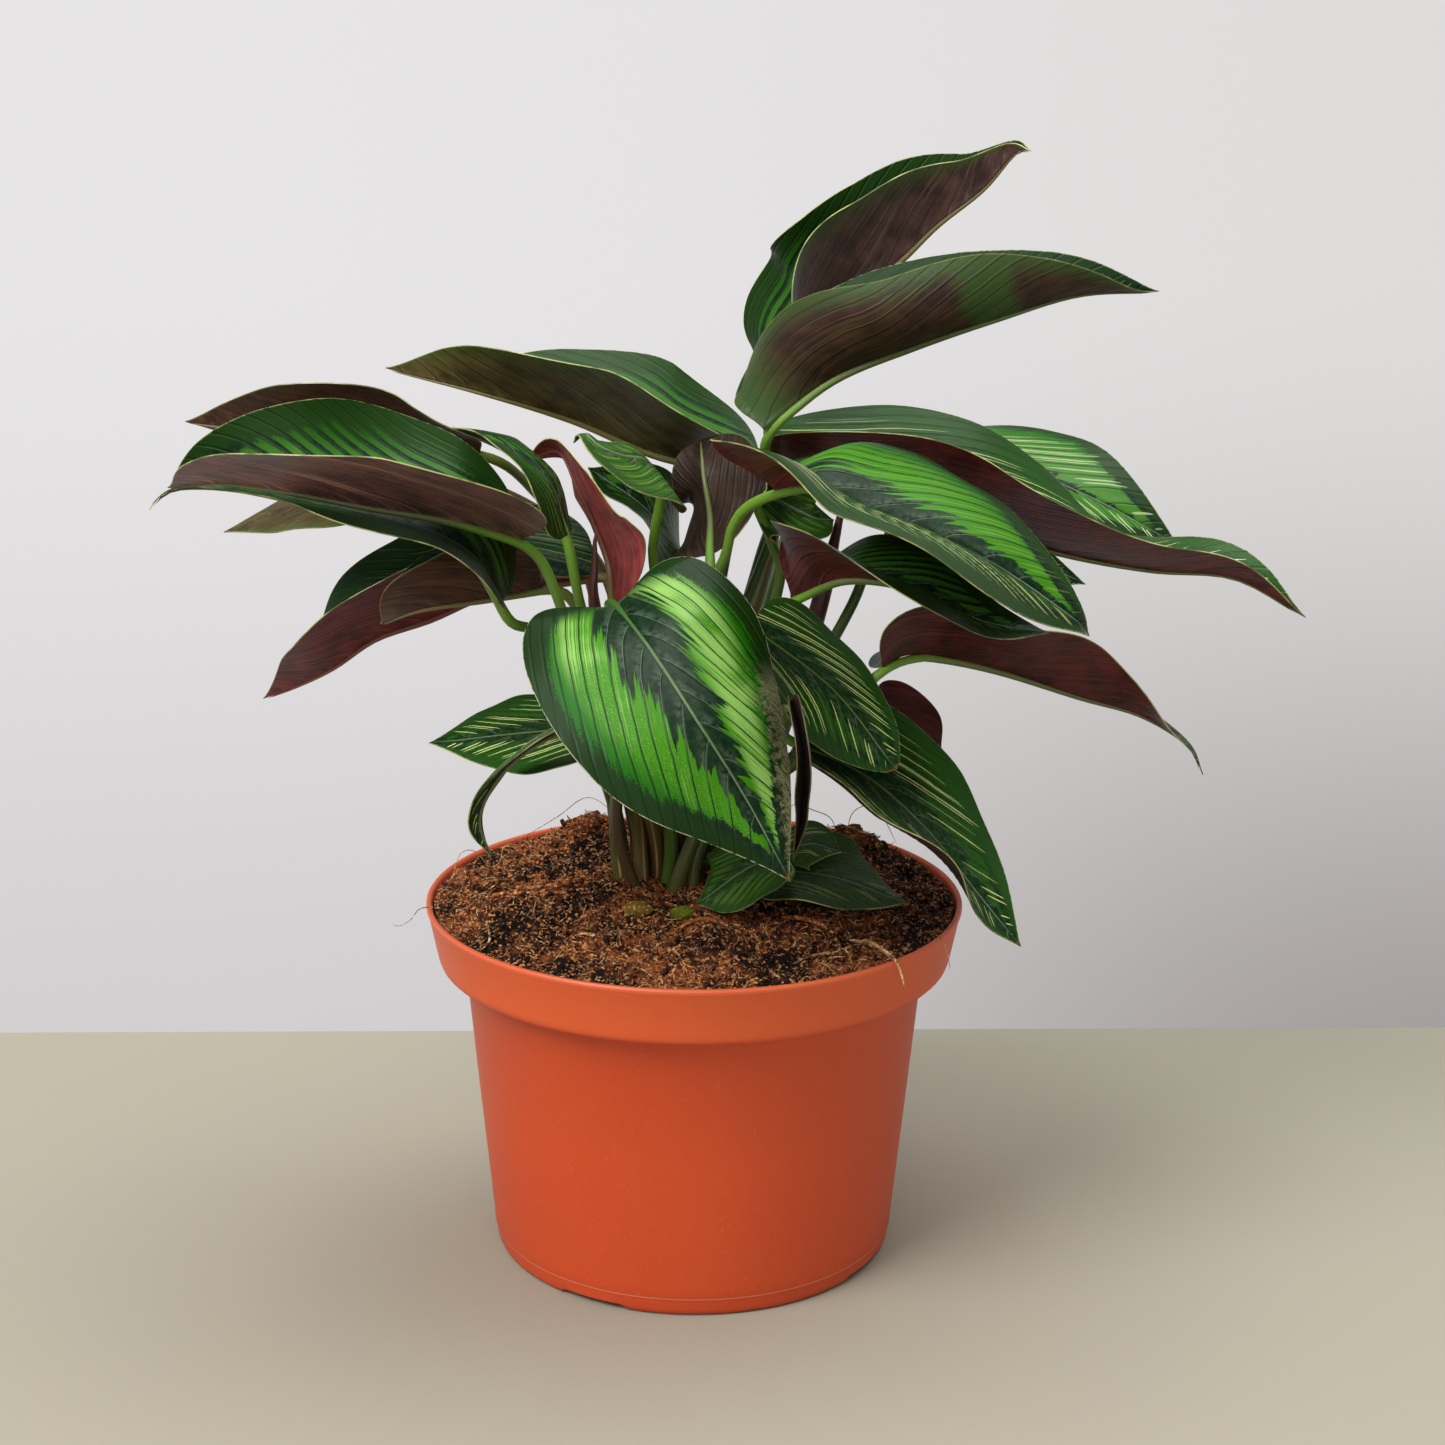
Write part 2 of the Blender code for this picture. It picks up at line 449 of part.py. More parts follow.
def make_pot():
    floor_top = FLOOR_UNDERSIDE + FLOOR_THICKNESS
    band_radius = RIM_RADIUS - 3.2
    step_inside = BAND_BOTTOM + 1.7
    profile = [
        (0, 0), (PAD_RADIUS, 0), (PAD_RADIUS + 1.5, FLOOR_UNDERSIDE),
        (FOOT_RING_INNER - 1.5, FLOOR_UNDERSIDE), (FOOT_RING_INNER, 0),
        # rounded foot, and the fine ledge that shows as a line
        (FOOT_RADIUS - 2.0, 0), (FOOT_RADIUS - 0.6, 0.8), (FOOT_RADIUS, 2.2), (FOOT_RADIUS + 0.2, MOULD_LINE - 0.2),
        (FOOT_RADIUS + 0.6, MOULD_LINE),
        # body, step and rim band with its rounded lower edge and lip
        (BODY_TOP_RADIUS, BAND_BOTTOM), (band_radius - 1.7, BAND_BOTTOM), (band_radius - 0.5, BAND_BOTTOM + 0.5),
        (band_radius, BAND_BOTTOM + 1.6), (RIM_RADIUS - 0.3, POT_HEIGHT - 1.6), (RIM_RADIUS, POT_HEIGHT - 0.6),
        (RIM_RADIUS - 0.5, POT_HEIGHT), (RIM_RADIUS - 1.3, POT_HEIGHT), (RIM_RADIUS - 1.8, POT_HEIGHT - 0.6),
        # down the inside to the floor
        (band_radius - WALL, BAND_BOTTOM + 2.6), (band_radius - WALL - 0.8, step_inside),
        (inner_radius(step_inside), step_inside), (inner_radius(6.0), 6.0), (inner_radius(6.0) - 1.8, floor_top),
        (0, floor_top),
    ]
    pot = turned("pot", profile)
    cutters = tool_collection("pot_cutters")
    for k in range(NOTCH_COUNT):
        direction = math.radians(NOTCH_FIRST + k * 360 / NOTCH_COUNT)
        bpy.ops.mesh.primitive_cube_add(size=1, location=(0, 0, 0))
        notch = bpy.context.object
        for corner in notch.data.vertices:
            length = NOTCH_LENGTH if corner.co.z < 0 else NOTCH_LENGTH - 2 * NOTCH_SLOPE
            x = corner.co.x * length
            y = -(FOOT_RADIUS + FOOT_RING_INNER) / 2 + corner.co.y * 9
            z = -NOTCH_HEIGHT if corner.co.z < 0 else NOTCH_HEIGHT
            turn_x = x * math.cos(direction) - y * math.sin(direction)
            turn_y = x * math.sin(direction) + y * math.cos(direction)
            corner.co = (turn_x * MM, turn_y * MM, z * MM)
        move_to(cutters, notch)
    for k in range(DRAIN_COUNT):
        direction = math.tau * k / DRAIN_COUNT
        centre = (DRAIN_CIRCLE * math.cos(direction) * MM, DRAIN_CIRCLE * math.sin(direction) * MM, floor_top / 2 * MM)
        bpy.ops.mesh.primitive_cylinder_add(vertices=10, radius=DRAIN_RADIUS * MM, depth=2 * floor_top * MM,
                                            location=centre)
        move_to(cutters, bpy.context.object)
    boolean(pot, cutters, "DIFFERENCE")
    finish(pot, POT_COLOUR, 0.42, crease=25)


def soil_height(x, y):
    """Height of the soil's surface: a low mound with lumps and small unevenness."""
    r = math.hypot(x, y)
    height = SOIL_EDGE + SOIL_RISE * (1 - (r / RIM_RADIUS) ** 2)
    for clod_x, clod_y, rise, spread in CLODS:
        height += rise * math.exp(-((x - clod_x) ** 2 + (y - clod_y) ** 2) / spread**2)
    grain = math.sin(0.31 * x + 1.3) * math.sin(0.27 * y) + 0.6 * math.sin(0.53 * x - 0.47 * y)
    return height + 0.5 * grain * min(1.0, (RIM_RADIUS - r) / 12)


def make_soil():
    floor = FLOOR_UNDERSIDE + FLOOR_THICKNESS + GAP
    step = BAND_BOTTOM + 1.7 + GAP
    band_inside = RIM_RADIUS - 3.2 - WALL - GAP
    top_radius = RIM_RADIUS - 1.8 - GAP - 0.2
    top_edge = soil_height(top_radius, 0)
    side = [
        (0, floor), (inner_radius(6.0) - 1.8 - GAP, floor), (inner_radius(6.0) - GAP, 6.0 + GAP),
        (inner_radius(step) - GAP, step), (band_inside - 0.8, step), (band_inside, BAND_BOTTOM + 2.6 + GAP),
        (top_radius, top_edge),
    ]
    top = [(top_radius * (1 - ring / SOIL_RINGS), 0) for ring in range(1, SOIL_RINGS + 1)]
    soil = turned("soil", side + top)
    mound = side[-1][0] - 0.01
    for point in soil.data.vertices:
        x, y = point.co.x / MM, point.co.y / MM
        if point.co.z == 0:
            point.co.z = soil_height(x, y) * MM
    build = bmesh.new()
    build.from_mesh(soil.data)
    bmesh.ops.triangulate(build, faces=[f for f in build.faces if f.calc_center_median().z > top_edge * MM * 0.95])
    bmesh.ops.recalc_face_normals(build, faces=build.faces)
    build.to_mesh(soil.data)
    build.free()
    holes = tool_collection("stalk_holes")
    for name, line, radii in stalks():
        reach = next((k for k, point in enumerate(line) if point[2] > HOLE_TOP), len(line) - 1)
        line = np.array(line[:reach + 1])
        radii = np.array(radii[:reach + 1]) + GAP + 0.1
        line[0] -= unit(line[1] - line[0]) * GAP
        move_to(holes, mesh_object(name + "_hole", *tube(line, radii)))
    boolean(soil, holes, "DIFFERENCE")
    finish(soil, SOIL_COLOUR, 0.95)


def spear_line(points, radii):
    """Points along a rolled leaf, with its radius at each."""
    shares = np.linspace(0, 1, STALK_STATIONS + 2)
    return even_curve(points, len(shares)), np.interp(shares, np.linspace(0, 1, len(radii)), radii)


def stalks():
    """Each piece that stands in the soil, as its name, line and radii."""
    for leaf in LEAVES:
        yield leaf.name, *leaf.stalk_line()
    for name, points, radii in SPEARS:
        yield name, *spear_line(points, radii)


def make_leaves():
    for leaf in LEAVES:
        blade = mesh_object(leaf.name, *leaf.blade())
        stalk = mesh_object(leaf.name + "_stalk", *tube(*leaf.stalk_line()))
        boolean(blade, stalk, "UNION")
        finish(blade, leaf.colour, 0.45)
    for name, points, radii in SPEARS:
        spear = mesh_object(name, *tube(*spear_line(points, radii)))
        finish(spear, PURPLE, 0.45, crease=80)


def main():
    for thing in list(bpy.data.objects):
        bpy.data.objects.remove(thing, do_unlink=True)
    make_pot()
    make_soil()
    make_leaves()


main()
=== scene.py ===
# %% [markdown]
# # A potted calathea
#
# The object is a calathea: a clump of long stalks that stand in a plastic nursery pot of coir, each with
# one painted leaf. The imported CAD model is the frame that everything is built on. Its leaves are coarse, so
# each is replaced here by a finer blade and stalk laid on the same curves, and then painted.
# %% The frame
import math

import bpy
import numpy as np
from mathutils import Matrix


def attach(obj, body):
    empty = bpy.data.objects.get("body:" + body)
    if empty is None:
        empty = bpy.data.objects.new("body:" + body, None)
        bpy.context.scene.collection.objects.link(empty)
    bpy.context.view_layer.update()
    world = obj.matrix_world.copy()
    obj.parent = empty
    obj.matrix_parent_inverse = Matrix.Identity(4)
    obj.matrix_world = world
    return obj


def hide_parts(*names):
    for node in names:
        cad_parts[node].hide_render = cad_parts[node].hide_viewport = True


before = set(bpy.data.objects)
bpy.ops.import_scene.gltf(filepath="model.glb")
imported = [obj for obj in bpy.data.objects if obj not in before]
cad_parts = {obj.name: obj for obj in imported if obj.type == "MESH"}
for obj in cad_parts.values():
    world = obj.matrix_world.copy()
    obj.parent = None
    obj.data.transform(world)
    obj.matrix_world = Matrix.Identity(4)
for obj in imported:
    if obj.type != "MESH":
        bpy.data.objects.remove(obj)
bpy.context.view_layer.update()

MM = 0.001

# %% [markdown]
# ## Camera
#
# The photograph was taken from a little above the rim, with a long lens. The eye's place, the downward tilt
# of 15.5 degrees and a roll of half a degree were found from the ellipses of the pot's rim and foot. The
# lens is given for a sensor 36 mm wide, and the picture is square.
# %% Camera
EYE = (0.0076, -0.741, 0.360)
TILT = 15.53
ROLL = 0.46
FOCAL_PIXELS = 2742
PICTURE_PIXELS = 1445

camera_data = bpy.data.cameras.new("camera")
camera_data.sensor_width = 36
camera_data.lens = FOCAL_PIXELS / PICTURE_PIXELS * 36
camera = bpy.data.objects.new("camera", camera_data)
bpy.context.collection.objects.link(camera)
camera.matrix_world = (
    Matrix.Translation(EYE)
    @ Matrix.Rotation(math.radians(90 - TILT), 4, "X")
    @ Matrix.Rotation(math.radians(ROLL), 4, "Z")
)
bpy.context.scene.camera = camera
bpy.context.scene.view_settings.view_transform = "Standard"
print("camera lens", round(camera_data.lens, 1), "mm")

# %% [markdown]
# ## Shader maths
#
# A leaf's paint is a sum of many masks. Written node by node that is long and hard to read, so one small
# class wraps a socket, and Python's own operators add the Math nodes. Any other node comes from one method.
# %% Signal
class Signal:
    """An output socket in a material's tree, on which Python's operators work."""

    def __init__(self, tree, socket=None):
        self.tree = tree
        self.socket = socket

    def node(self, kind, settings=None, inputs=None, output=0):
        """Adds a node: its settings first, then the values or links of its sockets."""
        made = self.tree.nodes.new(kind)
        for key, value in (settings or {}).items():
            setattr(made, key, value)
        for key, value in (inputs or {}).items():
            if isinstance(value, Signal):
                self.tree.links.new(value.socket, made.inputs[key])
            else:
                made.inputs[key].default_value = value
        return Signal(self.tree, made.outputs[output])

    def maths(self, operation, *values):
        return self.node("ShaderNodeMath", {"operation": operation}, dict(enumerate(values)))

    def __add__(self, other): return self.maths("ADD", self, other)
    def __radd__(self, other): return self.maths("ADD", other, self)
    def __sub__(self, other): return self.maths("SUBTRACT", self, other)
    def __rsub__(self, other): return self.maths("SUBTRACT", other, self)
    def __mul__(self, other): return self.maths("MULTIPLY", self, other)
    def __rmul__(self, other): return self.maths("MULTIPLY", other, self)
    def __truediv__(self, other): return self.maths("DIVIDE", self, other)
    def __abs__(self): return self.maths("ABSOLUTE", self)


def rises(value, low, high):
    """A mask that goes smoothly from 0 at low to 1 at high."""
    return value.node("ShaderNodeMapRange", {"interpolation_type": "SMOOTHSTEP"},
                      {"Value": value, "From Min": low, "From Max": high})


def falls(value, low, high):
    """A mask that goes smoothly from 1 at low to 0 at high."""
    return 1 - rises(value, low, high)


def mixed(mask, first, second):
    """The first colour where the mask is 0, and the second where it is 1."""
    return mask.node("ShaderNodeMix", {"data_type": "RGBA"}, {0: mask, 6: first, 7: second}, output=2)


def parts(vector):
    """The three numbers of a vector."""
    split = vector.node("ShaderNodeSeparateXYZ", {}, {0: vector})
    outputs = split.socket.node.outputs
    return [Signal(vector.tree, outputs[k]) for k in range(3)]


def noise(x, y, z, detail=2.0, roughness=0.5):
    """Soft noise from 0 to 1, at a place made of three numbers."""
    place = x.node("ShaderNodeCombineXYZ", {}, {0: x, 1: y, 2: z})
    return x.node("ShaderNodeTexNoise", {},
                  {"Vector": place, "Scale": 1.0, "Detail": detail, "Roughness": roughness})


def grain(start, scale, detail=3.0, roughness=0.55):
    """Soft noise fixed to the object, scale features a metre."""
    place = start.node("ShaderNodeTexCoord", output=3)
    return start.node("ShaderNodeTexNoise", {},
                      {"Vector": place, "Scale": scale, "Detail": detail, "Roughness": roughness})


def srgb(red, green, blue):
    """A screen colour, 0 to 255, as the linear colour that a shader wants."""
    linear = [((c / 255 + 0.055) / 1.055) ** 2.4 if c > 10 else c / 255 / 12.92 for c in (red, green, blue)]
    return (*linear, 1.0)


print("shader maths ready")

# %% [markdown]
# Every finish starts and ends alike: a new material with one Principled shader, and at the end its colour,
# roughness and bump. Numbers that are the same all over are set on the shader's own sockets.
# %% Finishes
def new_finish(name):
    made = bpy.data.materials.new(name)
    made.use_nodes = True
    return made, Signal(made.node_tree)


def finish_with(made, colour, roughness, height=None, depth=0.0, **fixed):
    """Gives a finish its colour, roughness and bump, and the fixed numbers of its shader."""
    tree = made.node_tree
    shader = tree.nodes["Principled BSDF"]
    for socket, value in (("Base Color", colour), ("Roughness", roughness)):
        if isinstance(value, Signal):
            tree.links.new(value.socket, shader.inputs[socket])
        else:
            shader.inputs[socket].default_value = value
    for socket, value in fixed.items():
        shader.inputs[socket.replace("_", " ")].default_value = value
    if height is not None:
        bump = height.node("ShaderNodeBump", {}, {"Height": height, "Distance": depth * MM})
        tree.links.new(bump.socket, shader.inputs["Normal"])
    return made


print("finish helpers ready")

# %% [markdown]
# ## Stage and light
#
# The plant stands on a plain matt table whose back edge shows behind the pot, in front of a pale grey
# wall. The table is a staged slab, and the wall is the world's own colour: pale where the camera looks,
# with painted shade that darkens it towards the bottom and the right, and darker overhead and behind the
# camera, as a studio is, so that the gloss of the leaves doesn't grey them.
# A big soft key light stands high on the left and in front, so that the pot is darker on its right and
# throws a soft shadow there. A wider light hangs overhead, and a weak one fills the shade from the front.
# %% Stage and light
TABLE_BACK = 0.153     # how far behind the pot's middle the table ends
TABLE_SLANT = 0.031    # how much farther back that edge lies for each metre to the right
TABLE_WIDTH = 8.0
TABLE_FRONT = -4.0
TABLE_THICKNESS = 0.03

bpy.ops.object.select_all(action="DESELECT")
bpy.ops.mesh.primitive_cube_add(size=1, location=(0, 0, 0))
table_top = bpy.context.object
table_top.name = "table_top"
for corner in table_top.data.vertices:
    corner.co.x *= TABLE_WIDTH
    corner.co.y = TABLE_BACK + TABLE_SLANT * corner.co.x if corner.co.y > 0 else TABLE_FRONT
    corner.co.z = 0.0 if corner.co.z > 0 else -TABLE_THICKNESS
made, start = new_finish("matt_table")
cloud = grain(start, 3.0)
finish_with(made, mixed(cloud, srgb(157, 151, 134), srgb(164, 158, 141)), 0.75)
table_top.data.materials.append(made)

world = bpy.data.worlds.new("pale_wall")
world.use_nodes = True
start = Signal(world.node_tree)
to_right, to_back, height = parts(start.node("ShaderNodeTexCoord"))
# Painted shade on the wall in view: darker towards the bottom right, and a touch darker to the right all
# over.
shade = rises(0 - height, 0.1, 0.42) * (0.35 + 0.65 * rises(to_right, -0.1, 0.28))
pale_wall = mixed(rises(to_right, -0.2, 0.3), srgb(231, 229, 230), srgb(222, 220, 219))
wall = mixed(shade, pale_wall, srgb(156, 149, 149))
wall = mixed(rises(height, 0.0, 0.35), wall, srgb(140, 140, 142))
wall = mixed(falls(to_back, -0.3, 0.2), wall, srgb(112, 112, 114))
world.node_tree.links.new(wall.socket, world.node_tree.nodes["Background"].inputs["Color"])
bpy.context.scene.world = world


def soft_light(name, place, aim, size, power):
    """A round area light, size metres across, turned from its place towards its aim."""
    data = bpy.data.lights.new(name, "AREA")
    data.shape = "DISK"
    data.size = size
    data.energy = power
    lamp = bpy.data.objects.new(name, data)
    bpy.context.collection.objects.link(lamp)
    lamp.matrix_world = Matrix.Translation(place) @ (
        (Matrix.Translation(aim).translation - Matrix.Translation(place).translation)
        .to_track_quat("-Z", "Y").to_matrix().to_4x4()
    )
    return lamp


soft_light("key", (-0.68, -0.7, 1.05), (0, 0, 0.15), 0.8, 17.5)
soft_light("overhead", (0.25, 0.1, 1.5), (0.05, 0, 0.1), 1.4, 21)
soft_light("fill", (0.15, -1.3, 0.55), (0, 0, 0.12), 1.0, 3.5)
print("stage and light ready")

# %% [markdown]
# ## The pot
#
# The pot is moulded polypropylene: a tapered body, a step out to a rim band, a thin rolled lip, and a fine
# raised mould line above the rounded foot. It is a turned shape, so a circle is drawn at the foot and
# carried up the outside and down the inside by extruding and scaling, one ring for each height. The
# notches that let water run out from under it are pressed flat in the foot ring, a little above the table,
# and the drain holes are cut. All sizes are radius and height in millimetres.
# %% Sizes of the pot
POT_OUTSIDE = [
    (52.0, 0.25), (52.3, 0.0), (55.2, 0.0), (56.2, 0.3), (56.9, 1.0), (57.3, 2.2), (57.6, 5.1), (57.85, 5.25),
    (57.95, 5.5), (58.1, 8.0), (61.7, 45.0), (65.5, 85.6), (65.8, 86.0), (71.2, 86.0), (72.0, 86.2),
    (72.6, 86.8), (73.0, 87.8), (73.4, 89.5), (75.7, 101.0), (75.95, 101.4), (76.2, 102.0), (76.2, 102.6),
    (75.9, 103.05), (75.4, 103.2), (75.0, 103.1), (74.6, 102.7), (74.4, 102.0),
]
POT_INSIDE = [(71.5, 88.6), (70.9, 87.8), (64.2, 87.7), (60.0, 45.0), (56.0, 6.0), (54.2, 4.2), (14.0, 4.2)]
UNDERSIDE = [(50.5, 2.5), (15.5, 2.5), (14.0, 0.0)]    # from the foot ring in to the flat boss
POT_SEGMENTS = 144
NOTCH_DIRECTIONS = [-29.5 + 90 * k for k in range(4)]    # degrees from the front towards +X
NOTCH_HALF_WIDTH = 10.4                                  # degrees
NOTCH_HEIGHT = 1.7
NOTCH_REACH = 1.6                                        # foot points below this height are lifted
NOTCH_BETWEEN = (51.5, 57.1)                             # radii of those points
DRAIN_COUNT, DRAIN_RADIUS, DRAIN_CIRCLE = 6, 4.0, 38.0


def select_points(piece, wanted):
    """Leaves only the points that wanted(place) picks selected, with the piece in edit mode."""
    bpy.ops.mesh.select_all(action="DESELECT")
    bpy.ops.object.mode_set(mode="OBJECT")
    for point in piece.data.vertices:
        point.select = bool(wanted(point.co))
    bpy.ops.object.mode_set(mode="EDIT")
    bpy.ops.mesh.select_mode(type="VERT")


def turned(name, rings, segments):
    """A turned shell: a circle, extruded and scaled from ring to ring of (radius, height) in millimetres."""
    bpy.ops.object.select_all(action="DESELECT")
    radius, height = rings[0]
    bpy.ops.mesh.primitive_circle_add(vertices=segments, radius=radius * MM, location=(0, 0, 0))
    piece = bpy.context.object
    piece.name = piece.data.name = name
    bpy.ops.object.mode_set(mode="EDIT")
    bpy.ops.mesh.select_all(action="SELECT")
    bpy.ops.transform.translate(value=(0, 0, height * MM))
    for next_radius, next_height in rings[1:]:
        climb = (next_height - height) * MM
        share = next_radius / radius
        bpy.ops.mesh.extrude_region_move(TRANSFORM_OT_translate={"value": (0, 0, climb)})
        bpy.ops.transform.resize(value=(share, share, 1), center_override=(0, 0, 0))
        radius, height = next_radius, next_height
    return piece


pot = turned("nursery_pot", POT_OUTSIDE + POT_INSIDE, POT_SEGMENTS)
bpy.ops.mesh.edge_face_add()
select_points(pot, lambda place: place.z < 0.0003 and math.hypot(place.x, place.y) < 0.0521)
for radius, height in UNDERSIDE:
    bpy.ops.mesh.extrude_region_move(TRANSFORM_OT_translate={"value": (0, 0, 0)})
    bpy.ops.object.mode_set(mode="OBJECT")
    for point in pot.data.vertices:
        if point.select:
            turn = math.atan2(point.co.y, point.co.x)
            point.co = (radius * MM * math.cos(turn), radius * MM * math.sin(turn), height * MM)
    bpy.ops.object.mode_set(mode="EDIT")
bpy.ops.mesh.edge_face_add()
print("pot shell:", len(pot.data.polygons), "faces before the notches")

# %% [markdown]
# The foot points that lie in a notch are pressed flat, and a drill is cut out of the floor for each hole.
# %% Notches and drain holes
def in_notch(place):
    low, high = NOTCH_BETWEEN
    if place.z / MM > NOTCH_REACH or not low < math.hypot(place.x, place.y) / MM < high:
        return False
    direction = math.degrees(math.atan2(place.x, -place.y))
    return any(abs((direction - middle + 180) % 360 - 180) < NOTCH_HALF_WIDTH for middle in NOTCH_DIRECTIONS)


select_points(pot, in_notch)
bpy.ops.transform.resize(value=(1, 1, 0), center_override=(0, 0, NOTCH_HEIGHT * MM))
bpy.ops.mesh.select_all(action="SELECT")
bpy.ops.mesh.normals_make_consistent(inside=False)
bpy.ops.object.mode_set(mode="OBJECT")
for k in range(DRAIN_COUNT):
    turn = math.tau * k / DRAIN_COUNT
    place = (DRAIN_CIRCLE * MM * math.cos(turn), DRAIN_CIRCLE * MM * math.sin(turn), 3 * MM)
    bpy.ops.object.select_all(action="DESELECT")
    bpy.ops.mesh.primitive_cylinder_add(vertices=24, radius=DRAIN_RADIUS * MM, depth=12 * MM, location=place)
    drill = bpy.context.object
    hole = pot.modifiers.new("drain_hole", "BOOLEAN")
    hole.object = drill
    bpy.context.view_layer.objects.active = pot
    bpy.ops.object.modifier_apply(modifier=hole.name)
    bpy.data.objects.remove(drill)
print("pot:", len(pot.data.polygons), "faces")

# %% [markdown]
# The plastic is a terracotta orange, a touch uneven where the melt flowed, with a satin surface, very fine
# specks of dust and pale scuffs. The rim band is painted a touch lighter than the body, a painted highlight
# for the stronger light that falls on it. Its lip is lighter still, partly rubbed and partly a painted
# highlight along its edge, and the mould line above the foot is a pale painted highlight along its ridge.
# %% Plastic of the pot
made, start = new_finish("satin_terracotta_plastic")
x, y, z = parts(start.node("ShaderNodeTexCoord", output=3))
flow = noise(x * 14, y * 14, z * 5, detail=3.0)
dust = grain(start, 900, detail=1.0)
scuffs = noise(x * 60, y * 60, z * 700, detail=3.0)
body = mixed(flow, srgb(198, 66, 26), srgb(212, 80, 34))
body = mixed(rises(dust, 0.62, 0.76) * 0.12, body, srgb(226, 140, 104))
body = mixed(rises(scuffs, 0.66, 0.8) * rises(z, 0.085, 0.1) * 0.3, body, srgb(226, 130, 96))
# Painted highlight: the rim band a touch lighter than the body.
body = mixed(rises(z, 0.0862, 0.0885) * 0.5, body, srgb(232, 104, 52))
# The lip: partly rubbed, partly a painted highlight along its edge.
lip = rises(z, 0.1015, 0.1028) * 0.35
body = mixed(lip, body, srgb(226, 120, 84))
# Painted highlight along the ridge of the mould line.
line = rises(z, 0.0050, 0.0053) * falls(z, 0.0055, 0.0058)
body = mixed(line * 0.6, body, srgb(236, 150, 115))
finish_with(made, body, 0.36 + flow * 0.16 + dust * 0.05, height=grain(start, 420) + dust * 0.5, depth=0.05,
            Specular_IOR_Level=0.4)
pot.data.materials.append(made)
bpy.ops.object.select_all(action="DESELECT")
pot.select_set(True)
bpy.context.view_layer.objects.active = pot
bpy.ops.object.shade_smooth_by_angle(angle=math.radians(32))
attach(pot, "root")
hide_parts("pot")
print("pot finished")

# %% [markdown]
# ## The potting mix
#
# The pot is filled to its lip with coir: brown, crumbly and full of short fibres. Its body is a turned
# solid inside the pot whose top follows the same mound and clods as the CAD model, roughened by two
# Displace modifiers. Crumbs and fibres then lie on it, because bump alone wouldn't break the outline, so
# the height of the finished surface is kept for them.
# %% Height of the mix
RIM_RADIUS = 76.2
MIX_EDGE = 101.6      # height of the mound at the pot's lip
MIX_RISE = 8.5        # and how much higher its middle is
# Each clod is x, y, height and spread in millimetres
CLODS = ((-31, 35, 9.0, 11), (46, 30, 8.0, 10), (-45, -25, 1.6, 13), (-10, -12, 1.5, 12), (20, -58, -1.5, 12))
MIX_RADIUS = 74.0
MIX_SIDE = [(54.0, 4.5), (55.7, 6.3), (59.7, 45.0), (63.8, 87.9), (70.4, 88.0), (71.2, 88.9), (73.7, 100.2)]
MIX_SEGMENTS = 240
TOP_HEIGHT = 101.0    # of the top before it is heaped
TOP_RINGS = 62
SMOOTH_EDGE = 4.0     # width along the pot's wall in which the roughness grows


def mix_height(x, y):
    """Height of the potting mix at a place, in millimetres."""
    r = np.hypot(x, y)
    height = MIX_EDGE + MIX_RISE * (1 - (r / RIM_RADIUS) ** 2)
    for clod_x, clod_y, rise, spread in CLODS:
        height = height + rise * np.exp(-((x - clod_x) ** 2 + (y - clod_y) ** 2) / spread**2)
    unevenness = np.sin(0.31 * x + 1.3) * np.sin(0.27 * y) + 0.6 * np.sin(0.53 * x - 0.47 * y)
    return height + 0.5 * unevenness * np.minimum(1.0, (RIM_RADIUS - r) / 12)


def catmull_rom(points, at):
    """Values of an evenly keyed smooth curve, at shares from 0 to 1."""
    points = np.asarray(points, float)
    if len(points) == 1:
        return np.repeat(points, len(at), axis=0)
    keys = np.concatenate([[2 * points[0] - points[1]], points, [2 * points[-1] - points[-2]]])
    place = np.clip(at, 0, 1) * (len(points) - 1)
    first = np.minimum(place.astype(int), len(points) - 2)
    f = place - first
    if points.ndim > 1:
        f = f[:, None]
    a, b, c, d = (keys[first + k] for k in range(4))
    return 0.5 * (2 * b + (c - a) * f + (2 * a - 5 * b + 4 * c - d) * f**2 + (3 * b - a - 3 * c + d) * f**3)


def even_curve(points, count):
    """A smooth curve through the points, as count points evenly spaced along it."""
    dense = catmull_rom(points, np.linspace(0, 1, 24 * len(points)))
    run = np.concatenate([[0], np.cumsum(np.linalg.norm(np.diff(dense, axis=0), axis=1))])
    wanted = np.linspace(0, run[-1], count)
    return np.stack([np.interp(wanted, run, dense[:, k]) for k in range(3)], 1)


def points_of(piece):
    places = np.empty(len(piece.data.vertices) * 3)
    piece.data.vertices.foreach_get("co", places)
    return places.reshape(-1, 3)


def set_points(piece, places):
    piece.data.vertices.foreach_set("co", np.asarray(places, float).ravel())
    piece.data.update()

# %% [markdown]
# The body of the mix is turned from its side and a flat top of many rings. The top is then heaped to the
# height above and roughened, less so close to the pot's wall.
# %% The mix
top = [(MIX_RADIUS * (1 - k / TOP_RINGS), TOP_HEIGHT) for k in range(TOP_RINGS)]
mix = turned("potting_mix", MIX_SIDE + top, MIX_SEGMENTS)
bpy.ops.mesh.merge(type="CENTER")
select_points(mix, lambda place: place.z / MM < MIX_SIDE[0][1] + 0.1)
bpy.ops.mesh.edge_face_add()
bpy.ops.mesh.select_all(action="SELECT")
bpy.ops.mesh.normals_make_consistent(inside=False)
bpy.ops.object.mode_set(mode="OBJECT")
places = points_of(mix)
on_top = places[:, 2] / MM > TOP_HEIGHT - 0.1
places[on_top, 2] = mix_height(places[on_top, 0] / MM, places[on_top, 1] / MM) * MM
set_points(mix, places)
rough = mix.vertex_groups.new(name="rough")
inward = np.clip((MIX_RADIUS - np.hypot(places[:, 0], places[:, 1]) / MM) / SMOOTH_EDGE, 0.15, 1)
for index in np.flatnonzero(on_top):
    rough.add([int(index)], float(inward[index]), "REPLACE")
